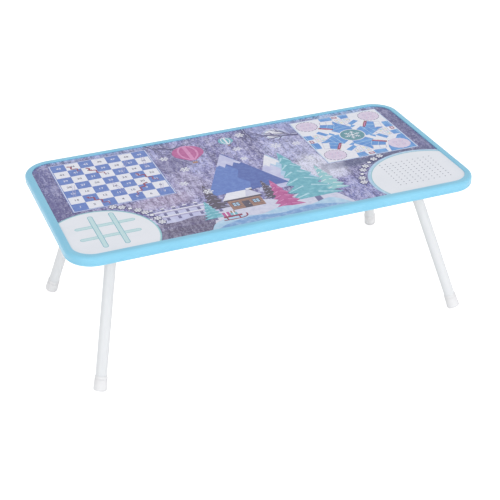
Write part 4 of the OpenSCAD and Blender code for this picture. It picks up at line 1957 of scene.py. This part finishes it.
@dataclass
class LegPair:
    """One bent tube with a cap on each foot."""

    side: int
    pivot: Point = (227.0, 193.2)
    half_bar: float = 80.0
    lean: float = 14.3
    spread: float = 17.5
    tube: float = 16.0
    sides: int = 40
    bend: float = 30.0
    bend_steps: int = 28
    leg: float = 205.54
    leg_steps: int = 6
    cap: float = 21.0
    base: float = 3.0
    cap_radius: float = 9.0
    cap_sides: int = 56
    flare: float = 0.5
    rib: float = 0.55
    collar: float = 4.5
    groove: float = 1.5
    groove_deep: float = 0.75
    crisp: float = 40.0

    @property
    def name(self) -> str:
        """Which end of the table it is at."""
        return "left" if self.side < 0 else "right"

    def plane(self) -> Matrix:
        """Takes the pair's own plane, x along the crossbar and y down the legs, to its open place.

        Returns:
            The matrix.
        """
        lean = math.radians(self.lean)
        down = Vector((self.side * math.sin(lean), 0, -math.cos(lean)))
        along = Vector((0, 1, 0))
        turned = Matrix((along, down, along.cross(down))).transposed().to_4x4()
        return Matrix.Translation((self.side * self.pivot[0] * MM, 0, self.pivot[1] * MM)) @ turned

    def path(self) -> list[Vector]:
        """The tube's centre line in its own plane.

        Returns:
            Its points from the rear foot to the front foot, in metres.
        """
        turn = math.radians(90 - self.spread)
        run = self.bend * math.tan(turn / 2)
        start = self.half_bar - run
        points: list[Vector] = []
        for k in range(self.bend_steps + 1):
            a = turn * k / self.bend_steps
            points.append(Vector((start + self.bend * math.sin(a), self.bend * (1 - math.cos(a)), 0)))
        knee = points[-1]
        straight = Vector((math.cos(turn), math.sin(turn), 0)) * (self.leg - self.base - run)
        points += [knee + straight * k / self.leg_steps for k in range(1, self.leg_steps + 1)]
        half = [p * MM for p in points]
        return [Vector((-p.x, p.y, 0)) for p in reversed(half)] + half

    def build(self, finishes: Finishes) -> None:
        """Makes the tube and its two caps.

        Args:
            finishes: the table's finishes.
        """
        g = Growth("bent_tube", tube_radius=self.tube / 2 * MM, sides=self.sides, coat=paint(finishes.tube))
        inputs = {"Resolution": g.given("Sides"), "Radius": g.given("Tube radius")}
        ring = g.node("GeometryNodeCurvePrimitiveCircle", None, inputs)
        line = g.node("GeometryNodeMeshToCurve", None, {0: g.given("Geometry")})
        inputs = {"Curve": line, "Profile Curve": ring, "Fill Caps": True}
        tube = g.node("GeometryNodeCurveToMesh", None, inputs)
        swept = g.run(tube, g.given("Coat"), wire(self.path(), True))
        made = bmesh.new()
        made.from_mesh(swept)
        bmesh.ops.recalc_face_normals(made, faces=made.faces)
        made.transform(self.plane())
        made.to_mesh(swept)
        made.free()
        smooth_between(swept, self.crisp)
        body = f"{self.name}_legs"
        placed(f"{self.name}_bent_tube", swept, body, [f"{self.name}_leg_frame"])
        for end, word in ((-1, "front"), (1, "rear")):
            node = f"{self.name}_{word}_foot"
            placed(f"{node}_cap", self.foot_cap(end), body, [node], finishes.foot)

    def cap_profile(self) -> list[Point]:
        """The section of a foot cap.

        Returns:
            Radius and height above the floor of each point, from the sole to the bore.
        """
        r, wide, tall, rib = self.cap_radius, self.cap_radius + self.flare, self.cap, self.rib
        low, groove, deep = tall - self.collar, self.groove / 2, r - self.groove_deep
        bore = self.tube / 2
        sole = [(0, rib), (2.6, rib), (3.0, 0.15), (3.4, rib), (5.4, rib), (5.8, 0.06), (wide - 1.2, 0.06)]
        flare = [(wide - 0.55, 0.2), (wide - 0.14, 0.6), (wide, 1.25)]
        fine_line = [(r + 0.06, low - 3.45), (r - 0.22, low - 3.15), (r + 0.04, low - 2.85)]
        ring = [
            (r + 0.02, low - groove),
            (r - 0.25, low - groove - 0.1),
            (deep, low - groove + 0.15),
            (deep, low + groove - 0.15),
            (r - 0.2, low + groove + 0.1),
            (r + 0.1, low + groove),
        ]
        shoulder = [(r + 0.1, tall - 2.1), (r, tall - 1.7), (bore + 0.4, tall - 0.15), (bore + 0.2, tall)]
        inside = [(bore, tall - 0.25), (bore, self.base), (0, self.base)]
        return [*sole, *flare, *fine_line, *ring, *shoulder, *inside]

    def foot_cap(self, end: int) -> Mesh:
        """Turns one foot cap.

        Args:
            end: -1 for the front foot, 1 for the rear one.

        Returns:
            The cap, in place.
        """
        spread = math.radians(self.spread)
        ray = Vector((end * math.sin(spread), math.cos(spread), 0))
        foot = Vector((end * self.half_bar, 0, 0)) + ray * self.leg
        side = ray.cross(Vector((0, 0, 1)))
        axes = Matrix((side, side.cross(ray), -ray)).transposed()
        place = self.plane() @ Matrix.Translation(foot * MM) @ axes.to_4x4()
        return lathe(self.cap_profile(), self.cap_sides, place)


@dataclass
class Fittings:
    """The clips, stops and screws under the board."""

    soften: float = 0.45
    soften_steps: int = 3
    soften_from: float = 40.0
    crisp: float = 30.0
    head_crisp: float = 28.0
    most_turn: float = 1.5
    head: float = 7.0
    head_tall: float = 2.2
    head_sides: int = 32
    bore: float = 1.75
    bore_deep: float = 4.0
    recess: Trio = (3.6, 0.85, 2.2)

    @staticmethod
    def worked(node: str) -> bmesh.types.BMesh:
        """The CAD shape of a node, with its triangles' shared points merged.

        Args:
            node: the CAD part.

        Returns:
            The geometry, to be freed.
        """
        made = bmesh.new()
        made.from_mesh(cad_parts[node].data)
        bmesh.ops.remove_doubles(made, verts=made.verts, dist=1e-6)
        return made

    def softened(self, node: str, finish: Finish) -> None:
        """Stands a copy of a CAD part with softly rounded edges in its place.

        Args:
            node: the CAD part.
            finish: its plastic.
        """
        made = self.worked(node)
        bmesh.ops.dissolve_limit(made, angle_limit=math.radians(1), verts=made.verts, edges=made.edges)
        carrier = linked("softened", meshed(made, "softened"))
        bevel = carrier.modifiers.new("soft_edges", "BEVEL")
        bevel.width = self.soften * MM
        bevel.segments = self.soften_steps
        bevel.limit_method = "ANGLE"
        bevel.angle_limit = math.radians(self.soften_from)
        bevel.harden_normals = False
        soft = taken(carrier)
        smooth_between(soft, self.crisp)
        placed(f"{node}_moulding", soft, TABLE_TOP, [node], finish)

    def screw_head(self) -> bpy.types.Object:
        """Makes one domed screw head with a cross recess, facing down from the origin.

        Returns:
            The head, for instancing.
        """
        r, t, bore, deep = self.head / 2, self.head_tall, self.bore, self.head_tall + self.bore_deep
        profile = [(0, 0.0), (1.1, 0.02), (2.0, 0.16), (2.8, 0.5), (3.3, 1.0)]
        profile += [(r, 1.6), (r, t), (bore, t), (bore, deep), (0, deep)]
        cross = bmesh.new()
        slot = Matrix.Diagonal((*(v * MM for v in self.recess), 1))
        for turn in (0, 90):
            bmesh.ops.create_cube(cross, size=1, matrix=Matrix.Rotation(math.radians(turn), 4, "Z") @ slot)
        dome = linked("head", lathe(profile, self.head_sides, Matrix.Identity(4)))
        cutter = linked("cross", meshed(cross, "cross"))
        carve = dome.modifiers.new("recess", "BOOLEAN")
        carve.operation = "DIFFERENCE"
        carve.solver = "EXACT"
        carve.use_self = True
        carve.object = cutter
        carved = taken(dome)
        smooth_between(carved, self.head_crisp)
        bpy.data.objects.remove(cutter)
        return linked("screw_head", carved)

    def screw_spots(self, node: str) -> list[Vector]:
        """Finds each screw of a group.

        Args:
            node: the CAD part, a group of screws.

        Returns:
            The lowest point of each screw, on its axis, in metres.
        """
        made = self.worked(node)
        spots: list[Vector] = []
        left = dict.fromkeys(made.verts)
        while left:
            island, edge = [], [left.popitem()[0]]
            while edge:
                vert = edge.pop()
                island.append(vert)
                for link in vert.link_edges:
                    other = link.other_vert(vert)
                    if other in left:
                        del left[other]
                        edge.append(other)
            xs, ys, zs = ([v.co[k] for v in island] for k in range(3))
            spots.append(Vector(((min(xs) + max(xs)) / 2, (min(ys) + max(ys)) / 2, min(zs))))
        made.free()
        return sorted(spots, key=lambda spot: (round(spot.x, 4), round(spot.y, 4)))

    def screws(self, node: str, head: bpy.types.Object, finish: Finish) -> None:
        """Sets a screw wherever the CAD part has one.

        Args:
            node: the CAD part, a group of screws.
            head: the screw to set.
            finish: its metal.
        """
        g = Growth("set_screws", screw=head, seed=len(node), metal=paint(finish))
        inputs = {"Object": g.given("Screw")}
        screw = g.node("GeometryNodeObjectInfo", {"transform_space": "ORIGINAL"}, inputs, "Geometry")
        turned = g.node("ShaderNodeCombineXYZ", None, {"Z": g.chance(0.0, self.most_turn)})
        points = g.node("GeometryNodeMeshToPoints", None, {"Mesh": g.given("Geometry")})
        inputs = {"Points": points, "Instance": screw, "Rotation": turned}
        instances = g.node("GeometryNodeInstanceOnPoints", None, inputs)
        mesh = g.run(instances, g.given("Metal"), wire(self.screw_spots(node), False))
        placed(f"{node}_set", mesh, TABLE_TOP, [node])

    def build(self, finishes: Finishes) -> None:
        """Makes every fitting.

        Args:
            finishes: the table's finishes.
        """
        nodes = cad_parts
        for node in sorted(nodes):
            if node.endswith(("_clip", "_leg_stop")):
                self.softened(node, finishes.clip)
        head = self.screw_head()
        for node in sorted(n for n in nodes if n.endswith("_screws")):
            self.screws(node, head, finishes.screw)
        bpy.data.objects.remove(head)
        nodes["backing_sheet"].material_slots[0].material = paint(finishes.backing)
        nodes["board_core"].material_slots[0].material = paint(finishes.board)


@dataclass(frozen=True)
class Lamp:
    """A soft square lamp that faces the table.

    Args:
        name: its name.
        spot: where it hangs, in metres.
        size: its width, in metres.
        power: its power, in watts.
        mirrored: whether glossy surfaces mirror it.
        aim: the height over the table's middle that it faces, in metres.
    """

    name: str
    spot: Trio
    size: float
    power: float
    mirrored: bool = True
    aim: float = 0.12

    def hang(self) -> None:
        """Puts the lamp into the scene."""
        light = bpy.data.lights.new(self.name, "AREA")
        light.size = self.size
        light.energy = self.power
        lamp = linked(self.name, light)
        lamp.visible_glossy = self.mirrored
        spot = Vector(self.spot)
        turn = (Vector((0, 0, self.aim)) - spot).to_track_quat("-Z", "Y").to_matrix().to_4x4()
        lamp.matrix_world = Matrix.Translation(spot) @ turn


@dataclass
class Studio:
    """The plain studio and the camera, which stands where the photograph's did."""

    spot: Trio = (-0.56902, -1.49328, 1.02679)
    yaw: float = 20.944
    pitch: float = 30.475
    roll: float = -0.913
    lens: float = 89.02
    sensor: float = 36.0
    far: float = 50.0
    sky: float = 0.773
    pale: float = 0.96
    glow: float = 0.5
    reach: float = 9.0
    lamps: tuple[Lamp, ...] = (
        Lamp("key", (0.5, -1.0, 2.2), 1.6, 4.6),
        Lamp("front", (0.9, -2.4, 0.35), 1.2, 21.4, mirrored=False),
        Lamp("side", (-2.0, -1.8, 1.2), 1.6, 14.9),
    )

    def floor(self) -> None:
        """Lays the pale floor, white to the camera but for the table's soft shadow."""
        s = Surface("studio_floor")
        plain = s.node("ShaderNodeBsdfDiffuse", None, {"Color": (self.pale, self.pale, self.pale)})
        strength = s.straight_rays() * self.glow
        glow = s.node("ShaderNodeEmission", None, {"Color": (1.0, 1.0, 1.0), "Strength": strength})
        both = s.node("ShaderNodeAddShader", None, {0: plain, 1: glow})
        s.node("ShaderNodeOutputMaterial", None, {"Surface": both})
        mesh = bpy.data.meshes.new("floor")
        corners = [(x * self.reach, y * self.reach, 0) for x, y in QUARTERS[2:] + QUARTERS[:2]]
        mesh.from_pydata(corners, [], [(0, 1, 2, 3)])
        mesh.materials.append(s.material)
        ground = linked("studio_floor", mesh)

    def world(self) -> None:
        """Lights the room evenly and shows white behind the table."""
        world = bpy.data.worlds.new("studio")
        world.use_nodes = True
        bpy.context.scene.world = world
        tree = NodeTree(world.node_tree)
        strength = tree.straight_rays() * (1 - self.sky) + self.sky
        sky = tree.node("ShaderNodeBackground", None, {"Color": (1.0, 1.0, 1.0), "Strength": strength})
        tree.node("ShaderNodeOutputWorld", None, {"Surface": sky})

    def camera(self) -> None:
        """Sets the camera at the photograph's place."""
        yaw, pitch, roll = (math.radians(v) for v in (self.yaw, self.pitch, self.roll))
        ahead = Vector((math.sin(yaw) * math.cos(pitch), math.cos(yaw) * math.cos(pitch), -math.sin(pitch)))
        flat = Vector((math.cos(yaw), -math.sin(yaw), 0))
        upright = flat.cross(ahead)
        right = flat * math.cos(roll) + upright * math.sin(roll)
        up = upright * math.cos(roll) - flat * math.sin(roll)
        data = bpy.data.cameras.new("camera")
        data.lens = self.lens
        data.sensor_width = self.sensor
        data.clip_end = self.far
        camera = linked("camera", data)
        turn = Matrix((right, up, -ahead)).transposed().to_4x4()
        camera.matrix_world = Matrix.Translation(self.spot) @ turn
        bpy.context.scene.camera = camera

    def build(self) -> None:
        """Sets up the whole studio."""
        bpy.context.scene.view_settings.view_transform = "Standard"
        self.camera()
        self.floor()
        self.world()
        for lamp in self.lamps:
            lamp.hang()


def main() -> None:
    """Builds the table's parts in order."""
    logging.basicConfig(level=logging.INFO, format="%(message)s")
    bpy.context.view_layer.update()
    finishes = Finishes()
    Studio().build()
    edge = EdgeFrame()
    edge.build(finishes.edge)
    PrintedTop(edge).build(finishes)
    for side in (-1, 1):
        LegPair(side).build(finishes)
    Fittings().build(finishes)


if __name__ == "__main__":
    main()
